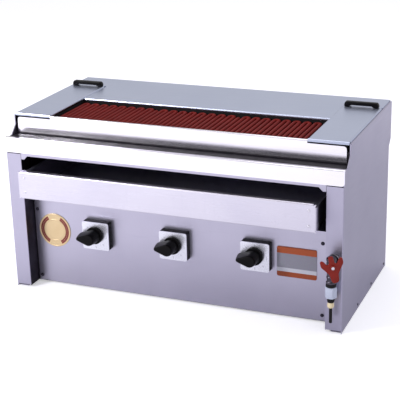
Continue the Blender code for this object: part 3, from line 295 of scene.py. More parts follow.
def coated(name, colour, second, roughness, edge_wear_and_highlight, grain_mm=GRAIN_MM, depth_mm=0.03, **extra):
    """A moulded or painted skin with a fine grain, drifting colour, and outward edges in their own colour:
    wear on most finishes, a painted highlight on the sheath and the nickel.
    """
    material, tree, shader, spot = new_material(name, colour, roughness, **extra)
    grain = add_node(tree, NOISE, pattern(grain_mm, 2.0), Vector=spot).outputs["Fac"]
    drift = add_node(tree, NOISE, pattern(DRIFT_MM, 3.0), Vector=spot).outputs["Fac"]
    tone = add_node(tree, MIX, two_tones(colour, second), i0=drift)
    outward = add_node(tree, "ShaderNodeNewGeometry").outputs["Pointiness"]
    # Outward edges take the edge colour: a painted highlight on the sheath and the nickel, wear on the rest
    edge = add_node(tree, RANGE, between(0.54, 0.62, 0.0, 0.6), Value=outward).outputs["Result"]
    skin = add_node(tree, MIX, two_tones(edge_wear_and_highlight, edge_wear_and_highlight), i0=edge, i6=tone.outputs[2])
    rough = add_node(tree, RANGE, between(0.3, 0.7, roughness - 0.05, roughness + 0.06), Value=grain)
    bump = add_node(tree, BUMP, {"Strength": 0.3, "Distance": depth_mm * MM}, Height=grain)
    link(tree, shader, Base_Color=skin.outputs[2], Roughness=rough.outputs[0], Normal=bump.outputs[0])
    return material


# A tube sheath burnt to red oxide: matt and rusty, with a painted highlight in lighter red on outward edges
sheath = coated("oxide_red_heater_sheath", "7C1C18", "5E1210", 0.58, "8A3328", 1.5, Specular_IOR_Level=0.10)
# Phenolic from a steel mould: black, with one soft highlight
black_plastic = coated("moulded_black_phenolic", "070608", "0A080B", 0.40, "100E12", Specular_IOR_Level=0.09)
# The same without polish, so its edge reads as a dark frame round the plate
black_switch = coated(
    "moulded_black_switch_housing", "0A080C", "070608", 0.45, "141218", Specular_IOR_Level=0.12
)
# Anodised aluminium: a pale satin that is brighter than the panel
plate_silver = coated("satin_anodised_switch_plate", "D6D5E2", "C4C3D4", 0.28, "EDEDF4", metallic=0.8)
# Old nickel on brass: dark, with small painted highlights on the outward edges of its collars
nickel = coated("dark_nickel_plated_brass", "56515A", "423E47", 0.24, "8A8790", metallic=1.0)
# Dipped enamel: deep red, glossy, worn orange at the rim
red_enamel = coated("red_enamelled_handle", "8C1C0E", "6C140A", 0.34, "A8402A", Specular_IOR_Level=0.25)
# Uncoloured nylon: warm cream, a little waxy
ivory = coated("ivory_nylon", "E6D7B4", "D6C49C", 0.42, "F2E8CC")
# Tinted nylon: cool pale grey, a little waxy
grey_nylon = coated("light_grey_nylon_nut", "B8BED2", "A6ACC2", 0.40, "D2D6E4")
# Moulded rubber: dead black
rubber = coated("black_rubber", "0D0C0E", "151316", 0.65, "1C1A1D", 0.6, Specular_IOR_Level=0.2)
# Zinc gone dark: a small dull dot on the bright sheet
screw_steel = coated("dark_zinc_screw", "3C3846", "2A2732", 0.35, "6C6878", metallic=0.9)
# Fresh zinc: it nearly vanishes on the drawer, apart from its shaded rim
rivet_steel = coated("bright_zinc_rivet", "D8D5DE", "C4C1CE", 0.25, "F0EEF4", metallic=0.9)
print("finishes so far:", len(bpy.data.materials))

# %% [markdown]
# ## Every solid piece takes its finish
#
# The list follows the sheet metal's families: which way the belt ran, which pieces were polished, which
# the smoke has darkened, and which are painted dark for shade. Solids that get a finer mesh further down take
# their finish too.

# %% Finishes by piece
finishes = {
    steel_side_painted_shade: "left_side_panel right_side_panel",
    steel_top: "left_lid right_lid rear_cover",
    steel_front: "control_panel front_crossbar water_basin",
    steel_rail_polish_and_highlight: "skewer_rail fascia_rail",
    steel_drawer: "drawer_front",
    steel_back: "rear_panel left_runner right_runner",
    ledge_painted_shade: "front_ledge",
    post_sheet: "left_post right_post left_box_angle right_box_angle",
    box_sheet: "fire_box",
    comb_sheet: "front_comb rear_comb",
    pan_sheet: "drawer_pan",
    base_sheet: "base_panel",
    sheath: "heater_left heater_middle heater_right",
    black_plastic: "knob_1 knob_2 knob_3 left_grip right_grip",
    black_switch: "switch_housing_1 switch_housing_2 switch_housing_3 "
    "switch_body_1 switch_body_2 switch_body_3 cable_gland gland_nut",
    plate_silver: "switch_plate_1 switch_plate_2 switch_plate_3",
    nickel: "valve_body valve_stem drain_pipe drain_bush",
    red_enamel: "valve_handle",
    ivory: "handle_nut outlet_collar",
    grey_nylon: "union_nut terminal_block",
    rubber: "seal_ring valve_gasket outlet_spout",
}


def dress(name, finish):
    """Gives a solid piece one finish."""
    nodes[name].data.materials.clear()
    nodes[name].data.materials.append(finish)


for finish, names in finishes.items():
    for name in names.split():
        dress(name, finish)
undressed = sorted(set(nodes) - set(" ".join(finishes.values()).split()))
print("pieces without a finish yet:", undressed)

# %% [markdown]
# ## Tools for the finer pieces
#
# Small pieces of the real grill are turned on a lathe, or cut or moulded to an outline, so one maker turns
# a profile and one lofts an outline. The last function breaks the edges, gives a piece its finish, sets it
# on its body and lets it stand for a plain solid. Places are in millimetres from the panel's middle, from
# the lower front plane and from the table, as on a drawing.

# %% Makers
TURN_STEPS = 48
BREAK_STEPS = 2
BREAK_DEGREES = 35
SMOOTH_DEGREES = 38
MOST_OF_AN_EDGE = 0.48
SAME_POINT = 1e-6
FACE_FRONT = Matrix.Rotation(math.radians(90), 4, "X")
FACE_BACK = Matrix.Rotation(math.radians(-90), 4, "X")


def at(x, y, z):
    """A place of the grill in millimetres, as a matrix."""
    return Matrix.Translation((CENTRE_X + x * MM, FRONT_Y + y * MM, z * MM))


def on_node(node, turn, x=0.5, y=0.5, z=0.5):
    """The place at these shares of a node's box, with the turn that a piece takes there."""
    spans = zip(*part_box(node), (x, y, z))
    return Matrix.Translation([low + (high - low) * share for low, high, share in spans]) @ turn


def rounded(points, radius, closed=False, steps=4):
    """The same outline with each corner drawn round, as far as its two edges allow."""
    result = []
    for i, point in enumerate(points):
        if not closed and i in (0, len(points) - 1):
            result.append(tuple(point))
            continue
        here = Vector(point)
        before = Vector(points[i - 1]) - here
        after = Vector(points[(i + 1) % len(points)]) - here
        reach = min(radius, before.length * MOST_OF_AN_EDGE, after.length * MOST_OF_AN_EDGE)
        start, end = here + before.normalized() * reach, here + after.normalized() * reach
        for step in range(steps + 1):
            share = step / steps
            result.append(tuple(start.lerp(here, share).lerp(here.lerp(end, share), share)))
    return result


def around(centre, radius, start, end, steps):
    """Points on an arc, angles in degrees."""
    angles = [math.radians(start + (end - start) * i / steps) for i in range(steps + 1)]
    return [(centre[0] + radius * math.cos(a), centre[1] + radius * math.sin(a)) for a in angles]


def oblong(half_long, half_wide):
    """The outline of an oblong about its middle."""
    return [(u * half_long, v * half_wide) for u, v in ((-1, -1), (1, -1), (1, 1), (-1, 1))]


def turned(profile, steps=TURN_STEPS, bored=False):
    """A turned solid about Z. The profile holds (radius, height) in millimetres."""
    shape = bmesh.new()
    points = [shape.verts.new((radius * MM, 0, height * MM)) for radius, height in profile]
    edges = [shape.edges.new(pair) for pair in zip(points, points[1:])]
    if bored:
        edges.append(shape.edges.new((points[-1], points[0])))
    bmesh.ops.spin(shape, geom=points + edges, cent=(0, 0, 0), axis=(0, 0, 1), angle=math.tau, steps=steps)
    bmesh.ops.remove_doubles(shape, verts=shape.verts, dist=SAME_POINT)
    bmesh.ops.recalc_face_normals(shape, faces=shape.faces)
    return shape


def lofted(outline, stations):
    """A solid through copies of an outline: stations hold (height in millimetres, scale)."""
    shape = bmesh.new()
    rings = []
    for height, scale in stations:
        rings.append([shape.verts.new((u * scale * MM, v * scale * MM, height * MM)) for u, v in outline])
    shape.faces.new(list(reversed(rings[0])))
    shape.faces.new(rings[-1])
    for lower, upper in zip(rings, rings[1:]):
        for i in range(len(outline)):
            j = (i + 1) % len(outline)
            shape.faces.new((lower[i], lower[j], upper[j], upper[i]))
    bmesh.ops.recalc_face_normals(shape, faces=shape.faces)
    return shape


def moved(shape, matrix):
    """The same shape, moved and turned."""
    bmesh.ops.transform(shape, matrix=matrix, verts=shape.verts)
    return shape


def mesh_of(name, shape):
    """A mesh that takes over a made shape."""
    mesh = bpy.data.meshes.new(name)
    shape.to_mesh(mesh)
    shape.free()
    return mesh


def join(shape, other):
    """Adds the faces of another shape to this one."""
    scratch = mesh_of("scratch", other)
    shape.from_mesh(scratch)
    bpy.data.meshes.remove(scratch)
    return shape


def baked(name, source):
    """A plain mesh object at the origin from one that still has its modifiers. The first goes away."""
    scene.collection.objects.link(source)
    evaluated = source.evaluated_get(bpy.context.evaluated_depsgraph_get())
    mesh = bpy.data.meshes.new_from_object(evaluated)
    mesh.name = name
    bpy.data.objects.remove(source, do_unlink=True)
    piece = bpy.data.objects.new(name, mesh)
    scene.collection.objects.link(piece)
    return piece


def soften(piece, degrees):
    """Smooth shading, apart from edges that are sharper than this."""
    piece.data.shade_smooth()
    piece.data.set_sharp_from_angle(angle=math.radians(degrees))


def hand_over(piece, body, stands_for):
    """Sets a piece on its body, and lets it stand for a solid, if it does."""
    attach(piece, body)
    if stands_for:
        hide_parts(*stands_for.split())
    return piece


def add_piece(name, shape, place, finish, body, stands_for="", edge_mm=0.0):
    """Sets a made shape in its place, breaks its edges, and hands it over."""
    piece = bpy.data.objects.new(name + "_raw", mesh_of(name, shape))
    piece.data.transform(place)
    if edge_mm:
        broken = piece.modifiers.new("edges", "BEVEL")
        broken.width = edge_mm * MM
        broken.segments = BREAK_STEPS
        broken.limit_method = "ANGLE"
        broken.angle_limit = math.radians(BREAK_DEGREES)
    piece = baked(name, piece)
    soften(piece, SMOOTH_DEGREES)
    piece.data.materials.clear()
    piece.data.materials.append(finish)
    return hand_over(piece, body, stands_for)


print("lower front plane at Y", round(FRONT_Y, 4), "middle at X", round(CENTRE_X, 4))

# %% [markdown]
# ## The heater tubes
#
# Each of the three zones is one sheathed tube that runs to and fro across the fire, 17 legs to a zone, and
# its two ends dip to the terminals under the field. It is one rule repeated, so a geometry tree draws it: a
# row of points, moved by their number to the ends of the legs, joined to a line, filleted at every turn and
# swept with a circle. The sums that move the points are a table, which a loop turns to nodes.


# %% What every geometry tree has
def new_tree(name, **inputs):
    """A geometry tree and its inputs' sockets. First_X="Float" makes a number that is called First X."""
    tree = bpy.data.node_groups.new(name, "GeometryNodeTree")
    for socket, kind in {"Geometry": "Geometry", **inputs}.items():
        kind = "NodeSocket" + kind
        tree.interface.new_socket(socket.replace("_", " "), in_out="INPUT", socket_type=kind)
    tree.interface.new_socket("Geometry", in_out="OUTPUT", socket_type="NodeSocketGeometry")
    return tree, add_node(tree, "NodeGroupInput").outputs


def end_tree(tree, geometry, finish):
    """How every tree ends: its instances are made real, take their material and go out."""
    real = add_node(tree, "GeometryNodeRealizeInstances", Geometry=geometry)
    dressed = add_node(tree, "GeometryNodeSetMaterial", Geometry=real.outputs[0], Material=finish)
    add_node(tree, "NodeGroupOutput", Geometry=dressed.outputs[0])
    print(tree.name, "has", len(tree.nodes), "nodes")


def grown(name, tree, values, body, stands_for="", start=None):
    """Evaluates a geometry tree with named values and keeps the result as one plain piece."""
    raw = bpy.data.objects.new(name + "_raw", start or bpy.data.meshes.new(name + "_raw"))
    modifier = raw.modifiers.new("tree", "NODES")
    modifier.node_group = tree
    for item in tree.interface.items_tree:
        if item.in_out == "INPUT" and item.name in values:
            modifier[item.identifier] = values[item.name]
    return hand_over(baked(name, raw), body, stands_for)


# %% Tree for a tube that runs to and fro
BEND_STEPS = 8
TUBE_SIDES = 16
serpentine, given = new_tree(
    "serpentine_tube", Legs="Int", Pitch="Float", First_X="Float", Front_Y="Float", Rear_Y="Float",
    Level="Float", Tail="Float", Radius="Float", Sheath="Material",
)
# A row holds the sum's name, what it does, and its terms: numbers, or the names of inputs and other sums
sums = (
    # Two points to a leg, and one more under each end of the tube
    ("ends", "MULTIPLY", "Legs", 2), ("count", "ADD", "ends", 2), ("shifted", "SUBTRACT", "index", 1),
    ("final", "SUBTRACT", "ends", 1), ("capped", "MINIMUM", "shifted", "final"),
    ("step", "MAXIMUM", "capped", 0), ("half step", "MULTIPLY", "step", 0.5), ("leg", "FLOOR", "half step"),
    ("end", "MODULO", "step", 2), ("odd", "MODULO", "leg", 2), ("differ", "SUBTRACT", "end", "odd"),
    ("far", "ABSOLUTE", "differ"),
    # The first two and the last two points make the dips, half a pitch in from the bends
    ("is first", "LESS_THAN", "index", 1.5), ("before last", "SUBTRACT", "ends", 0.5),
    ("is last", "GREATER_THAN", "index", "before last"), ("at end", "ADD", "is first", "is last"),
    ("towards", "SUBTRACT", 0.5, "far"), ("inward", "MULTIPLY", "at end", "towards"),
    ("pulled", "MULTIPLY", "inward", "Pitch"),
    # Where each point goes, and how round the bends are
    ("aside", "MULTIPLY", "leg", "Pitch"), ("X", "ADD", "aside", "First X"),
    ("length", "SUBTRACT", "Rear Y", "Front Y"), ("run", "MULTIPLY", "length", "far"),
    ("from front", "ADD", "run", "pulled"), ("Y", "ADD", "from front", "Front Y"),
    ("beyond", "SUBTRACT", "shifted", "step"), ("dips", "ABSOLUTE", "beyond"),
    ("drop", "MULTIPLY", "dips", "Tail"), ("Z", "SUBTRACT", "Level", "drop"),
    ("bend", "MULTIPLY", "Pitch", 0.499),
)
terms = {socket.name: socket for socket in given}
terms["index"] = add_node(serpentine, "GeometryNodeInputIndex").outputs[0]
for name, operation, *pair in sums:
    node = add_node(serpentine, MATH, {"operation": operation})
    for number, term in enumerate(pair):
        if isinstance(term, str):
            serpentine.links.new(terms[term], node.inputs[number])
        else:
            node.inputs[number].default_value = term
    terms[name] = node.outputs[0]
line = add_node(serpentine, "GeometryNodeMeshLine", i0=terms["count"])
point = add_node(serpentine, "ShaderNodeCombineXYZ", X=terms["X"], Y=terms["Y"], Z=terms["Z"])
route = add_node(serpentine, "GeometryNodeSetPosition", Geometry=line.outputs[0], Position=point.outputs[0])
wire = add_node(serpentine, "GeometryNodeMeshToCurve", Mesh=route.outputs[0])
fillet = {"mode": "POLY", "Count": BEND_STEPS}
bent = add_node(serpentine, "GeometryNodeFilletCurve", fillet, Curve=wire.outputs[0], Radius=terms["bend"])
sides = {"Resolution": TUBE_SIDES}
section = add_node(serpentine, "GeometryNodeCurvePrimitiveCircle", sides, Radius=given["Radius"])
tube = add_node(
    serpentine, "GeometryNodeCurveToMesh", {"Fill Caps": True},
    Curve=bent.outputs[0], Profile_Curve=section.outputs[0],
)
smooth = add_node(serpentine, "GeometryNodeSetShadeSmooth", Geometry=tube.outputs[0])
end_tree(serpentine, smooth.outputs[0], given["Sheath"])

# %% Lay the three tubes
ZONES = ("left", "middle", "right")
LEGS = 17
LEG_PITCH_MM = 9.0
TUBE_FRONT_MM, TUBE_REAR_MM = 46, 157
TUBE_LEVEL_MM = 301
TUBE_TAIL_MM = 22
TUBE_RADIUS_MM = 3.15
for zone, word in enumerate(ZONES):
    first = (zone * LEGS - (len(ZONES) * LEGS - 1) / 2) * LEG_PITCH_MM
    sizes = {
        "Legs": LEGS, "Pitch": LEG_PITCH_MM * MM, "First X": CENTRE_X + first * MM,
        "Front Y": FRONT_Y + TUBE_FRONT_MM * MM, "Rear Y": FRONT_Y + TUBE_REAR_MM * MM,
        "Level": TUBE_LEVEL_MM * MM, "Tail": TUBE_TAIL_MM * MM, "Radius": TUBE_RADIUS_MM * MM,
        "Sheath": sheath,
    }
    piece = grown("heater_tube_" + word, serpentine, sizes, "body", "heater_" + word)
    print(piece.name, "triangles", sum(len(p.vertices) - 2 for p in piece.data.polygons))

# %% [markdown]
# ## The pointer knobs
#
# Each knob is one moulding of black phenolic: a low round skirt, and on it a tall grip with a round back and
# a long beak that points to the chosen heat. A mould is tapered so that the knob comes out, so the grip is
# lofted through stations that shrink towards its rounded crown.

# %% Knobs
SKIRT_MM = 15.5
SKIRT_FROM_MM, SKIRT_TO_MM = 0.3, 7.0
GRIP_ROUND_MM = 12.0
BEAK_REACH_MM = 27.0
BEAK_TIP_MM = 3.5
SHAFT_Z_MM = 111
SWITCHES = (1, 2, 3)
spread = BEAK_REACH_MM - BEAK_TIP_MM
slope = math.degrees(math.acos((GRIP_ROUND_MM - BEAK_TIP_MM) / spread))
drop_outline = around((0, 0), GRIP_ROUND_MM, slope - 180, 180 - slope, 28)
drop_outline += around((-spread, 0), BEAK_TIP_MM, 180 - slope, 180 + slope, 10)
skirt_profile = [(0, SKIRT_FROM_MM), (SKIRT_MM, SKIRT_FROM_MM), (SKIRT_MM, SKIRT_TO_MM), (0, SKIRT_TO_MM)]
grip_stations = (
    (6.0, 1.0), (9.0, 0.998), (15.0, 0.965), (22.0, 0.91), (26.5, 0.868), (28.4, 0.84), (29.4, 0.805),
    (29.9, 0.76), (30.0, 0.72),
)
for number in SWITCHES:
    knob = join(turned(rounded(skirt_profile, 1.3)), lofted(drop_outline, grip_stations))
    place = on_node("switch_plate_%d" % number, FACE_FRONT, y=0)
    place.translation.z = SHAFT_Z_MM * MM
    name, body, node = ("%s_%d" % (word, number) for word in ("pointer_knob", "switch", "knob"))
    add_piece(name, knob, place, black_plastic, body, node)
print("knobs made, beak reaches", BEAK_REACH_MM, "mm")

# %% [markdown]
# ## The dial plates
#
# An anodised plate lies over each switch housing, with the heat steps printed on it: 0 to 3, and a tick
# between each two. The printing is nearly worn away. It is thin solid ink that lies on the plate's face.

# %% Dial digits and ticks
DIAL_RADIUS_MM = 20.6
DIGIT_MM = 5.2
TICK_HALF_MM = (1.6, 0.35)
INK_MM = 0.05
INK_SHOWS = 0.4
SAME_INK_POINT = 1e-7
# Screen ink rubbed by fingers: a grey that barely stands out from the plate
dial_ink = coated("worn_grey_dial_ink", "6C6A78", "8A8896", 0.5, "8A8896", 0.5, 0.01)


def ink_shape(text_value):
    """A digit as a thin closed solid in the XY plane, centred, from Blender's own font."""
    letter = bpy.data.curves.new("ink_digit", "FONT")
    letter.body = text_value
    letter.size = DIGIT_MM * MM
    letter.align_x, letter.align_y = "CENTER", "CENTER"
    letter.extrude = INK_MM * MM / 2
    letter.resolution_u = 3
    holder = bpy.data.objects.new("ink_digit", letter)
    scene.collection.objects.link(holder)
    mesh = bpy.data.meshes.new_from_object(holder.evaluated_get(bpy.context.evaluated_depsgraph_get()))
    bpy.data.objects.remove(holder, do_unlink=True)
    shape = bmesh.new()
    shape.from_mesh(mesh)
    bmesh.ops.remove_doubles(shape, verts=shape.verts, dist=SAME_INK_POINT)
    bpy.data.meshes.remove(mesh)
    return shape


def on_dial(degrees):
    """The place on the dial's ring at this angle, turned to look outwards."""
    turned_to = Matrix.Rotation(math.radians(degrees), 4, "Z")
    return turned_to @ Matrix.Translation((DIAL_RADIUS_MM * MM, 0, 0))


for number in SWITCHES:
    dial = bmesh.new()
    for value, angle in enumerate((180, 90, 0, -90)):
        join(dial, moved(ink_shape(str(value)), Matrix.Translation(on_dial(angle).translation)))
    for angle in (135, 45, -45, -135):
        tick = lofted(oblong(*TICK_HALF_MM), ((-INK_MM / 2, 1), (INK_MM / 2, 1)))
        join(dial, moved(tick, on_dial(angle)))
    face = on_node("switch_plate_%d" % number, FACE_FRONT, y=0)
    place = face @ Matrix.Translation((0, 0, INK_MM * INK_SHOWS * MM))
    add_piece("dial_marks_%d" % number, dial, place, dial_ink, "body")
print("dials printed with four digits and four ticks each")

# %% [markdown]
# ## The drain cock
#
# A quarter-turn cock in nickelled brass: its barrel is turned from bar with three collars, a bonnet holds
# the stem, and a spigot at the back takes the pipe. The stem looks a little to the right. Under the barrel
# hang a black seal ring, a pale nylon union nut, a black gasket, an ivory collar and a thin spout.

# %% Cock: places and turned parts
COCK_X_MM, COCK_Y_MM = 286.0, -17.0
STEM_Z_MM = 130.0
STEM_UP_BARREL_MM = 35
STEM_TURN = Matrix.Rotation(math.radians(22.5), 4, "Z")
stem_place = at(COCK_X_MM, COCK_Y_MM, STEM_Z_MM) @ STEM_TURN @ FACE_FRONT


def stack(node):
    """Where a node of the stack under the barrel stands, and its height in millimetres."""
    low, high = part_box(node)
    return at(COCK_X_MM, COCK_Y_MM, low.z / MM), (high.z - low.z) / MM


def six_sided(radius, stations):
    """A piece of six-sided bar through stations of (height, scale)."""
    return lofted(around((0, 0), radius, 0, 300, 5), stations)


barrel = turned(rounded([
    (0, 0), (8, 0), (8, 3.4), (6.9, 4.4), (6.9, 9), (7.5, 9.8), (7.5, 12.6), (6.9, 13.4), (6.9, 22),
    (7.6, 24), (7.6, 36), (6.9, 38), (7.9, 39), (7.9, 43.4), (5.4, 45), (0, 45),
], 0.5, steps=2))
bonnet_profile = [(0, 3), (6.1, 3), (6.1, 8.4), (5.2, 9.2), (5.2, 11.4), (0, 11.4)]
bonnet = turned(rounded(bonnet_profile, 0.6, steps=3), steps=6)
bonnet_ring = turned(rounded([(0, 2), (5.8, 2), (5.8, 7.4), (0, 7.4)], 0.4, steps=3))
spigot = turned(rounded([(0, 3), (6.1, 3), (6.1, 11.4), (0, 11.4)], 0.5, steps=3))
up_barrel = Matrix.Translation((0, 0, STEM_UP_BARREL_MM * MM))
to_stem = STEM_TURN @ FACE_FRONT
for shape, facing in ((bonnet, to_stem), (bonnet_ring, to_stem), (spigot, FACE_BACK)):
    join(barrel, moved(shape, up_barrel @ facing))
place = stack("valve_body")[0]
add_piece("cock_barrel", barrel, place, nickel, "body", "valve_body", edge_mm=0.25)

place, tall = stack("seal_ring")
seal = turned(rounded([(0, 0), (8.4, 0), (8.4, tall), (0, tall)], 1.1))
add_piece("black_seal_ring", seal, place, rubber, "body", "seal_ring")
place, tall = stack("union_nut")
nut = six_sided(10.0, ((0, 0.93), (1.0, 1.0), (tall - 1.0, 1.0), (tall, 0.93)))
join(nut, turned(rounded([(0, 2.0), (8.9, 2.0), (8.9, 3.2), (0, 3.2)], 0.3)))
add_piece("nylon_union_nut", nut, place, grey_nylon, "body", "union_nut", edge_mm=0.5)
place, tall = stack("valve_gasket")
gasket = turned(rounded([(0, 0), (5.3, 0), (5.9, 2.4), (6.1, 3.2), (6.4, tall), (0, tall)], 0.5))
add_piece("black_outlet_gasket", gasket, place, rubber, "body", "valve_gasket")
place, tall = stack("outlet_collar")
collar = turned(rounded([(0, 0), (3.9, 0), (5.4, 2.2), (5.5, 5.0), (5.3, 7.4), (4.2, tall), (0, tall)], 1.2))
add_piece("ivory_outlet_collar", collar, place, ivory, "body", "outlet_collar")
place, tall = stack("outlet_spout")
spout = turned([(1.5, 0.0), (2.1, 0.0), (2.6, 0.7), (2.6, tall), (1.5, tall)], steps=32, bored=True)
add_piece("black_outlet_spout", spout, place, rubber, "body", "outlet_spout", edge_mm=0.2)
print("barrel and five fittings made, spout", round(tall, 1), "mm long")

# %% [markdown]
# The handle is pressed from sheet in the shape of a butterfly: two wings, a short peak and a long foot. Its
# outline is drawn half, mirrored, and leaned by the twelve degrees at which it stands when shut. A press
# leaves rolled edges, so they are broken all round.

# %% Cock: handle, stem and lock nut
HANDLE_HALF_MM, HANDLE_RISE_MM, HANDLE_FOOT_MM = 17.9, 18.4, 26.9
HANDLE_LEAN_DEGREES = 12
HANDLE_FROM_MM, HANDLE_TO_MM = 16.0, 18.5
half_butterfly = (
    (0.20, -1.00), (0.34, -0.86), (0.40, -0.45), (0.72, -0.12), (1.00, 0.20), (1.00, 0.66),
    (0.86, 0.76), (0.68, 0.66), (0.44, 0.26), (0.24, 0.34), (0.22, 0.92), (0.14, 1.00),
)
butterfly = []
for across, up in half_butterfly:
    butterfly.append((across * HANDLE_HALF_MM, up * (HANDLE_RISE_MM if up > 0 else HANDLE_FOOT_MM)))
butterfly += [(-u, v) for u, v in reversed(butterfly)]
lean = Matrix.Rotation(math.radians(HANDLE_LEAN_DEGREES), 2)
butterfly = rounded([tuple(lean @ Vector(point)) for point in butterfly], 2.2, closed=True, steps=5)
handle = lofted(butterfly, ((HANDLE_FROM_MM, 1), (HANDLE_TO_MM, 1)))
add_piece(
    "red_butterfly_handle", handle, stem_place,
    red_enamel, "cock", "valve_handle", edge_mm=0.55,
)
boss = turned(rounded([(0, 12.0), (5.0, 12.0), (5.0, 15.9), (0, 15.9)], 0.4))
join(boss, turned(rounded([(0, 15.8), (2.5, 15.8), (2.5, 23.3), (0, 23.3)], 0.4)))
add_piece("cock_stem", boss, stem_place, rivet_steel, "cock", "valve_stem")
lock = six_sided(4.5, ((18.8, 0.94), (19.3, 1.0), (21.3, 1.0), (21.8, 0.9)))
washer = turned(rounded([(0, 18.55), (4.4, 18.55), (4.4, 18.85), (0, 18.85)], 0.05))
add_piece(
    "handle_lock_nut", join(lock, washer), stem_place,
    red_enamel, "cock", "handle_nut", edge_mm=0.25,
)
print("handle outline of", len(butterfly), "points")

# %% [markdown]
# ## The lids' grips
#
# A low bridge of black phenolic is screwed to the rear end of each lid. Its edges are soft, and its crown
# has a shallow hollow for the fingers. The outline shows two feet, an arch between them and the crown.

# %% Grips
GRIP_DEEP_MM = 10.0
CROWN_FROM_MM = 7.5
HOLLOW_MM = 0.5
grip_outline = rounded([
    (-30, 0), (-21, 0), (-18.5, 2.4), (18.5, 2.4), (21, 0),
    (30, 0), (30, 4.4), (27.6, 8.5), (-27.6, 8.5), (-30, 4.4),
], 1.6, closed=True)
for side in ("left", "right"):
    grip = lofted(grip_outline, ((0, 1), (GRIP_DEEP_MM, 1)))
    for vert in grip.verts:
        from_middle = abs(vert.co.z / (GRIP_DEEP_MM * MM) - 0.5)
        if vert.co.y > CROWN_FROM_MM * MM:
            vert.co.y -= HOLLOW_MM * MM * (1 - from_middle * 2)
    node = side + "_grip"
    place = on_node(node, FACE_FRONT, y=1, z=0)
    cover = side + "_cover"
    add_piece(side + "_lid_grip", grip, place, black_plastic, cover, node, edge_mm=1.6)
print("grips made")

# %% [markdown]
# ## The badge
#
# A stamped brass disc in pale gold lacquer is riveted to the panel's left end: a raised rim, a ring of
# small beads and a plain middle, with dark red lacquer in two arcs beside the rim. Beads in a ring are one
# rule repeated, so a geometry tree puts a ball on each point of a circle.

# %% Badge disc and its lacquer
# Lacquer over stamped brass: a warm straw colour with a soft shine
badge_gold = coated("pale_gold_lacquered_brass", "DCC49C", "CBAF84", 0.34, "EAD9B8", 0.9, metallic=0.35)
# Lacquer run into a sunk field: dull brick red
badge_red = coated("dark_red_lacquer", "7A2A22", "64201B", 0.40, "8C3A30", 0.9)
LACQUER_OUT_MM, LACQUER_IN_MM = 27.6, 21.2
badge_place = on_node("badge_disc", FACE_FRONT, y=1)
disc = turned([
    (0, 0), (30.9, 0), (31.0, 0.5), (30.6, 1.0), (30.0, 1.15), (29.2, 1.15), (28.8, 0.9), (28.5, 0.55),
    (20.2, 0.55), (19.9, 0.8), (19.5, 0.95), (18.9, 0.95), (18.5, 0.8), (18.2, 0.5), (9, 0.62), (0, 0.68),
], steps=96)
add_piece("badge_plain_disc", disc, badge_place, badge_gold, "body", "badge_disc")
arcs = bmesh.new()
for start, stop in ((118, 242), (-62, 62)):
    band = around((0, 0), LACQUER_OUT_MM, start, stop, 40)
    band += around((0, 0), LACQUER_IN_MM, stop, start, 40)
    join(arcs, lofted(band, ((0.5, 1), (0.64, 1))))
add_piece("badge_red_arcs", arcs, badge_place, badge_red, "body")

# %% Tree for a ring of beads
beads_tree, given = new_tree(
    "ring_of_beads", Count="Int", Ring_Radius="Float", Bead_Radius="Float", Uneven="Float", Lift="Vector",
    Finish="Material",
)
ring = add_node(beads_tree, "GeometryNodeMeshCircle", Vertices=given["Count"], Radius=given["Ring Radius"])
facets = {"Segments": 10, "Rings": 6}
ball = add_node(beads_tree, "GeometryNodeMeshUVSphere", facets, Radius=given["Bead Radius"])
least = add_node(beads_tree, MATH, {"operation": "SUBTRACT", 0: 1.0}, i1=given["Uneven"]).outputs[0]
size = add_node(beads_tree, "FunctionNodeRandomValue", {"Seed": 4, 3: 1.0}, i2=least)
put = add_node(
    beads_tree, "GeometryNodeInstanceOnPoints",
    Points=ring.outputs["Mesh"], Instance=ball.outputs["Mesh"], Scale=size.outputs[1],
)
lifted = add_node(beads_tree, "GeometryNodeSetPosition", Geometry=put.outputs[0], Offset=given["Lift"])
smooth = add_node(beads_tree, "GeometryNodeSetShadeSmooth", Geometry=lifted.outputs[0])
end_tree(beads_tree, smooth.outputs[0], given["Finish"])
bead_sizes = {
    "Count": 72, "Ring Radius": 24.4 * MM, "Bead Radius": 0.42 * MM, "Uneven": 0.2,
    "Lift": (0, 0, 0.62 * MM), "Finish": badge_gold,
}
beads = grown("badge_beads", beads_tree, bead_sizes, "body")
beads.data.transform(badge_place)
print("badge beads:", bead_sizes["Count"], "faces:", len(beads.data.polygons))

# %% [markdown]
# ## The rating plate
#
# A printed foil plate in plain bands: orange above, a grey field, a pale strip and orange below. The
# material draws them from the height on the plate, with the slightly uneven edge of screen printing.

# %% Rating plate
BAND_EDGE_MM = 0.4
PRINT_GRAIN_MM = 1.2
FADING = 0.35
BANDS = ((0.17, "C9C8D4"), (0.30, "8C8A98"), (0.78, "A84A1C"), (0.97, "8C3C18"))
plate_low, plate_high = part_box("rating_plate")
# Foil under ink: flat colours with a weak shine
plate_ink, tree, shader, spot = new_material(
    "screen_printed_foil_plate", "B9501E", 0.42, Specular_IOR_Level=0.4
)
height = add_node(tree, "ShaderNodeSeparateXYZ", Vector=spot).outputs["Z"]
grain = add_node(tree, NOISE, pattern(PRINT_GRAIN_MM, 2.0), Vector=spot)
uneven = {"operation": "MULTIPLY", 1: BAND_EDGE_MM * MM}
wobble = add_node(tree, MATH, uneven, i0=grain.outputs["Fac"]).outputs[0]
level = add_node(tree, MATH, {"operation": "ADD"}, i0=height, i1=wobble).outputs[0]
share = add_node(tree, RANGE, between(plate_low.z, plate_high.z, 0.0, 1.0), Value=level).outputs["Result"]
bands = add_node(tree, "ShaderNodeValToRGB", i0=share)
ramp = bands.color_ramp
ramp.interpolation = "CONSTANT"
ramp.elements[0].color = srgb("9A4218")
ramp.elements.remove(ramp.elements[1])
for position, code in BANDS:
    ramp.elements.new(position).color = srgb(code)
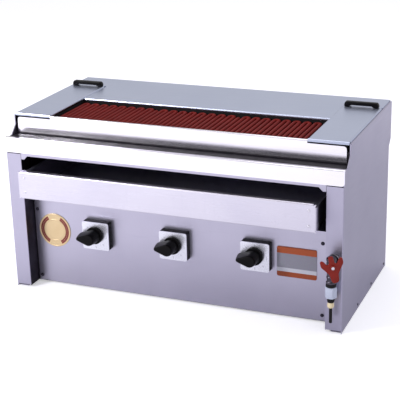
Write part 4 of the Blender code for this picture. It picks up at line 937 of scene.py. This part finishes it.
faded = add_node(
    tree, MIX, {"data_type": "RGBA", "blend_type": "MULTIPLY", 0: FADING},
    i6=bands.outputs["Color"], i7=grain.outputs["Color"],
)
bump = add_node(tree, BUMP, {"Strength": 0.2, "Distance": 0.02 * MM}, Height=grain.outputs["Fac"])
shine = add_node(tree, RANGE, between(0.0, 1.0, 0.36, 0.50), Value=grain.outputs["Fac"])
link(tree, shader, Base_Color=faded.outputs[2], Roughness=shine.outputs[0], Normal=bump.outputs[0])
dress("rating_plate", plate_ink)
print("rating plate", [round((h - l) / MM, 1) for l, h in zip(plate_low, plate_high)], "mm")

# %% [markdown]
# ## Screws and rivets
#
# Pan-head screws close the panel and the rear, and small rivets hold the foot of each side and the drawer's
# front. Every one is the same head put down again, turned by chance, as a hand leaves it. So one head is
# made, and a geometry tree sets it on each marked spot. The tree reads the way that the heads look from one
# vector, and takes each head's turn from a fixed seed.

# %% Tree that sets heads on marked spots
heads_tree, given = new_tree(
    "heads_on_spots", Head="Object", Facing="Vector", Seed="Int", Finish="Material"
)
model = add_node(heads_tree, "GeometryNodeObjectInfo", Object=given["Head"])
aim = add_node(heads_tree, "FunctionNodeAlignRotationToVector", {"axis": "Z"}, Vector=given["Facing"])
roll = add_node(heads_tree, "FunctionNodeRandomValue", {3: math.tau}, Seed=given["Seed"]).outputs[1]
twist = add_node(heads_tree, "FunctionNodeAxisAngleToRotation", {"Axis": (0, 0, 1)}, Angle=roll)
turned_by = add_node(
    heads_tree, "FunctionNodeRotateRotation", {"rotation_space": "LOCAL"},
    Rotation=aim.outputs["Rotation"], Rotate_By=twist.outputs["Rotation"],
)
set_down = add_node(
    heads_tree, "GeometryNodeInstanceOnPoints",
    Points=given["Geometry"], Instance=model.outputs["Geometry"], Rotation=turned_by.outputs["Rotation"],
)
end_tree(heads_tree, set_down.outputs["Instances"], given["Finish"])

# %% One screw head, one rivet head, and where they go
HEAD_MM = 3.2
HEAD_HIGH_MM = 1.7
RECESS_HALF_MM = (1.7, 0.3)
HEAD_SMOOTH_DEGREES = 40


def stored_head(name, shape, cutters=()):
    """Keeps a head as an object that only the tree reads. Cutters cut its recess."""
    head = bpy.data.objects.new(name, mesh_of(name, shape))
    tools = [bpy.data.objects.new(name + "_cutter", mesh_of(name + "_cutter", cutter)) for cutter in cutters]
    for tool in tools:
        scene.collection.objects.link(tool)
        recess = head.modifiers.new("recess", "BOOLEAN")
        recess.operation, recess.solver, recess.object = "DIFFERENCE", "EXACT", tool
    head = baked(name, head)
    for tool in tools:
        bpy.data.objects.remove(tool, do_unlink=True)
    soften(head, HEAD_SMOOTH_DEGREES)
    return head


pan_profile = [(0, 0), (HEAD_MM, 0), (HEAD_MM, 0.5), (2.3, HEAD_HIGH_MM), (0, HEAD_HIGH_MM)]
recess_long = oblong(*RECESS_HALF_MM)
recess_cross = [(v, u) for u, v in reversed(recess_long)]
cross_cutters = [lofted(outline, ((0.7, 0.5), (2.4, 1.25))) for outline in (recess_long, recess_cross)]
screw_head = stored_head("screw_head", turned(rounded(pan_profile, 0.6, steps=5), steps=32), cross_cutters)
dome = turned(rounded([(0, 0), (2.5, 0), (2.1, 0.7), (1.1, 1.0), (0, 1.0)], 0.4, steps=5), steps=24)
rivet_head = stored_head("rivet_head", dome)


def set_heads(name, head, spots, facing, finish, body, seed):
    """Heads on the given spots, in millimetres of the grill, as one piece."""
    marks = bpy.data.meshes.new(name + "_marks")
    marks.from_pydata([tuple(at(*spot).translation) for spot in spots], [], [])
    values = {"Head": head, "Facing": facing, "Seed": seed, "Finish": finish}
    piece = grown(name, heads_tree, values, body, start=marks)
    print(name, "heads:", len(spots), "faces:", len(piece.data.polygons))


PANEL_Y_MM, DRAWER_Y_MM, REAR_Y_MM, SIDE_X_MM = 29.9, -27.95, 297.9, 299.9
TO_FRONT, TO_REAR = (0, -1, 0), (0, 1, 0)
panel_spots = [(x, PANEL_Y_MM, z) for x, z in ((-264.5, 140), (-264.5, 14), (258.5, 141), (258.5, 14))]
set_heads("panel_screws", screw_head, panel_spots, TO_FRONT, screw_steel, "body", seed=2)
for side, sign in (("left", -1), ("right", 1)):
    foot_spots = [(sign * SIDE_X_MM, y, 9.0) for y in (101, 192, 285)]
    name, facing = side + "_foot_screws", (sign, 0, 0)
    set_heads(name, rivet_head, foot_spots, facing, screw_steel, "body", seed=5)
rivets = [(x, DRAWER_Y_MM, z) for x in (-252, 252) for z in (191, 217)]
set_heads("drawer_rivets", rivet_head, rivets, TO_FRONT, rivet_steel, "drawer", seed=7)
rear_spots = [(x, REAR_Y_MM, z) for x in (-280, -95, 95, 280) for z in (12, 215)]
set_heads("rear_screws", screw_head, rear_spots, TO_REAR, screw_steel, "body", seed=9)
for head in (screw_head, rivet_head):
    bpy.data.objects.remove(head, do_unlink=True)

# %% [markdown]
# ## The cable gland
#
# A moulded nylon gland at the rear, with a domed cap and a ring of gripping ribs. Its inner nut stays as the
# solid model has it.

# %% Gland
RIBS = 12
RIB_OUT_MM = 9.1
GLAND_SEAT_MM = 298
rib_outline = [(-0.7, -0.6), (0.7, -0.6), (0.7, 0.4), (-0.7, 0.4)]
gland = turned(rounded([
    (5, -14.2), (7.9, -14.2), (7.9, 0.4), (11.9, 0.4), (11.9, 3.0), (10.4, 3.6), (9.0, 4.6), (9.2, 9.0),
    (9.2, 12.0), (8.4, 15.0), (7.2, 15.9), (5, 15.9),
], 0.5, closed=True, steps=3), bored=True)
for rib in range(RIBS):
    turn = Matrix.Rotation(math.tau * rib / RIBS, 4, "Z")
    bar = lofted(rib_outline, ((4.8, 1), (13.2, 1), (14.0, 0.6)))
    join(gland, moved(bar, turn @ Matrix.Translation((0, RIB_OUT_MM * MM, 0))))
place = on_node("cable_gland", FACE_BACK)
place.translation.y = FRONT_Y + GLAND_SEAT_MM * MM
add_piece("ribbed_cable_gland", gland, place, black_switch, "body", "cable_gland")
print("gland with", RIBS, "ribs")

# %% [markdown]
# ## The floor, the backdrop and the lamps
#
# The photograph has a white ground. The floor is plain and pale: only what the camera sees, directly or in a
# mirror, is lifted to white, so the lamps stay at a plain level and the shadow stays visible. Close to the
# grill the mirrored floor is not lifted, because it lies in the grill's own shade: that makes the front
# panel darker towards its foot. Beyond the floor the camera sees plain white, and the steel mirrors four
# fifths of it, as a studio has darker corners.

# %% Stage
FLOOR_HALF = 6.0
FLOOR_LIFT = 0.42
SHADE_MIDDLE = (0.50, 0.30, 0)
FLOOR_NEAR = 0.50
FLOOR_FAR = 1.30
floor_shape = bmesh.new()
bmesh.ops.create_grid(floor_shape, x_segments=1, y_segments=1, size=FLOOR_HALF)
floor = bpy.data.objects.new("floor", mesh_of("floor", floor_shape))
scene.collection.objects.link(floor)
# Seamless paper roll: a matt white without any pattern of its own
paper, tree, shader, spot = new_material("pale_floor", "E6E6EA", 0.9)
rays = add_node(tree, "ShaderNodeLightPath").outputs
from_shade = {"operation": "DISTANCE", 1: SHADE_MIDDLE}
away = add_node(tree, "ShaderNodeVectorMath", from_shade, i0=spot).outputs["Value"]
shaded = {**between(FLOOR_NEAR, FLOOR_FAR, 0.0, 1.0), "interpolation_type": "SMOOTHSTEP"}
open_floor = add_node(tree, RANGE, shaded, Value=away).outputs["Result"]
mirrored = add_node(tree, MATH, {"operation": "MULTIPLY"}, i0=rays["Is Glossy Ray"], i1=open_floor).outputs[0]
seen = add_node(tree, MATH, {"operation": "MAXIMUM"}, i0=rays["Is Camera Ray"], i1=mirrored).outputs[0]
lift = add_node(tree, MATH, {"operation": "MULTIPLY", 1: FLOOR_LIFT}, i0=seen).outputs[0]
shader.inputs["Emission Color"].default_value = (1, 1, 1, 1)
link(tree, shader, Emission_Strength=lift)
floor.data.materials.append(paper)

# %% World
SKY_STRENGTH = 0.75
MIRRORED_SHARE = 0.8
world = bpy.data.worlds.new("studio")
scene.world = world
world.use_nodes = True
tree = world.node_tree
sky = tree.nodes["Background"]
sky.inputs["Color"].default_value = srgb("EDEDF6")
sky.inputs["Strength"].default_value = SKY_STRENGTH
rays = add_node(tree, "ShaderNodeLightPath").outputs
glossy, clear = rays["Is Glossy Ray"], rays["Is Transmission Ray"]
through = add_node(tree, MATH, {"operation": "MAXIMUM"}, i0=glossy, i1=clear).outputs[0]
shown = add_node(tree, MATH, {"operation": "MAXIMUM"}, i0=rays["Is Camera Ray"], i1=through).outputs[0]
dimmed = {"operation": "MULTIPLY_ADD", 1: MIRRORED_SHARE - 1, 2: 1.0}
brightness = add_node(tree, MATH, dimmed, i0=glossy).outputs[0]
white = add_node(tree, "ShaderNodeBackground", {"Color": (1, 1, 1, 1)}, Strength=brightness).outputs[0]
chooser = add_node(tree, "ShaderNodeMixShader", i0=shown, i1=sky.outputs[0], i2=white)
link(tree, tree.nodes["World Output"], Surface=chooser.outputs[0])

# %% Lamps
LAMPS_AIM = Vector((0, 0, 0.15))


def soft_lamp(name, place, size, power):
    """A square white area lamp that looks at the grill's middle."""
    light = bpy.data.lights.new(name, "AREA")
    light.size = size
    light.energy = power
    lamp = bpy.data.objects.new(name, light)
    scene.collection.objects.link(lamp)
    lamp.location = place
    lamp.rotation_euler = (LAMPS_AIM - Vector(place)).to_track_quat("-Z", "Y").to_euler()


soft_lamp("key_lamp", (-1.25, -1.45, 1.15), size=0.30, power=26)
soft_lamp("fill_lamp", (1.8, -1.0, 1.2), size=1.0, power=3)
soft_lamp("top_lamp", (0.1, 0.6, 2.2), size=1.4, power=12)
scene.view_settings.view_transform = "Standard"
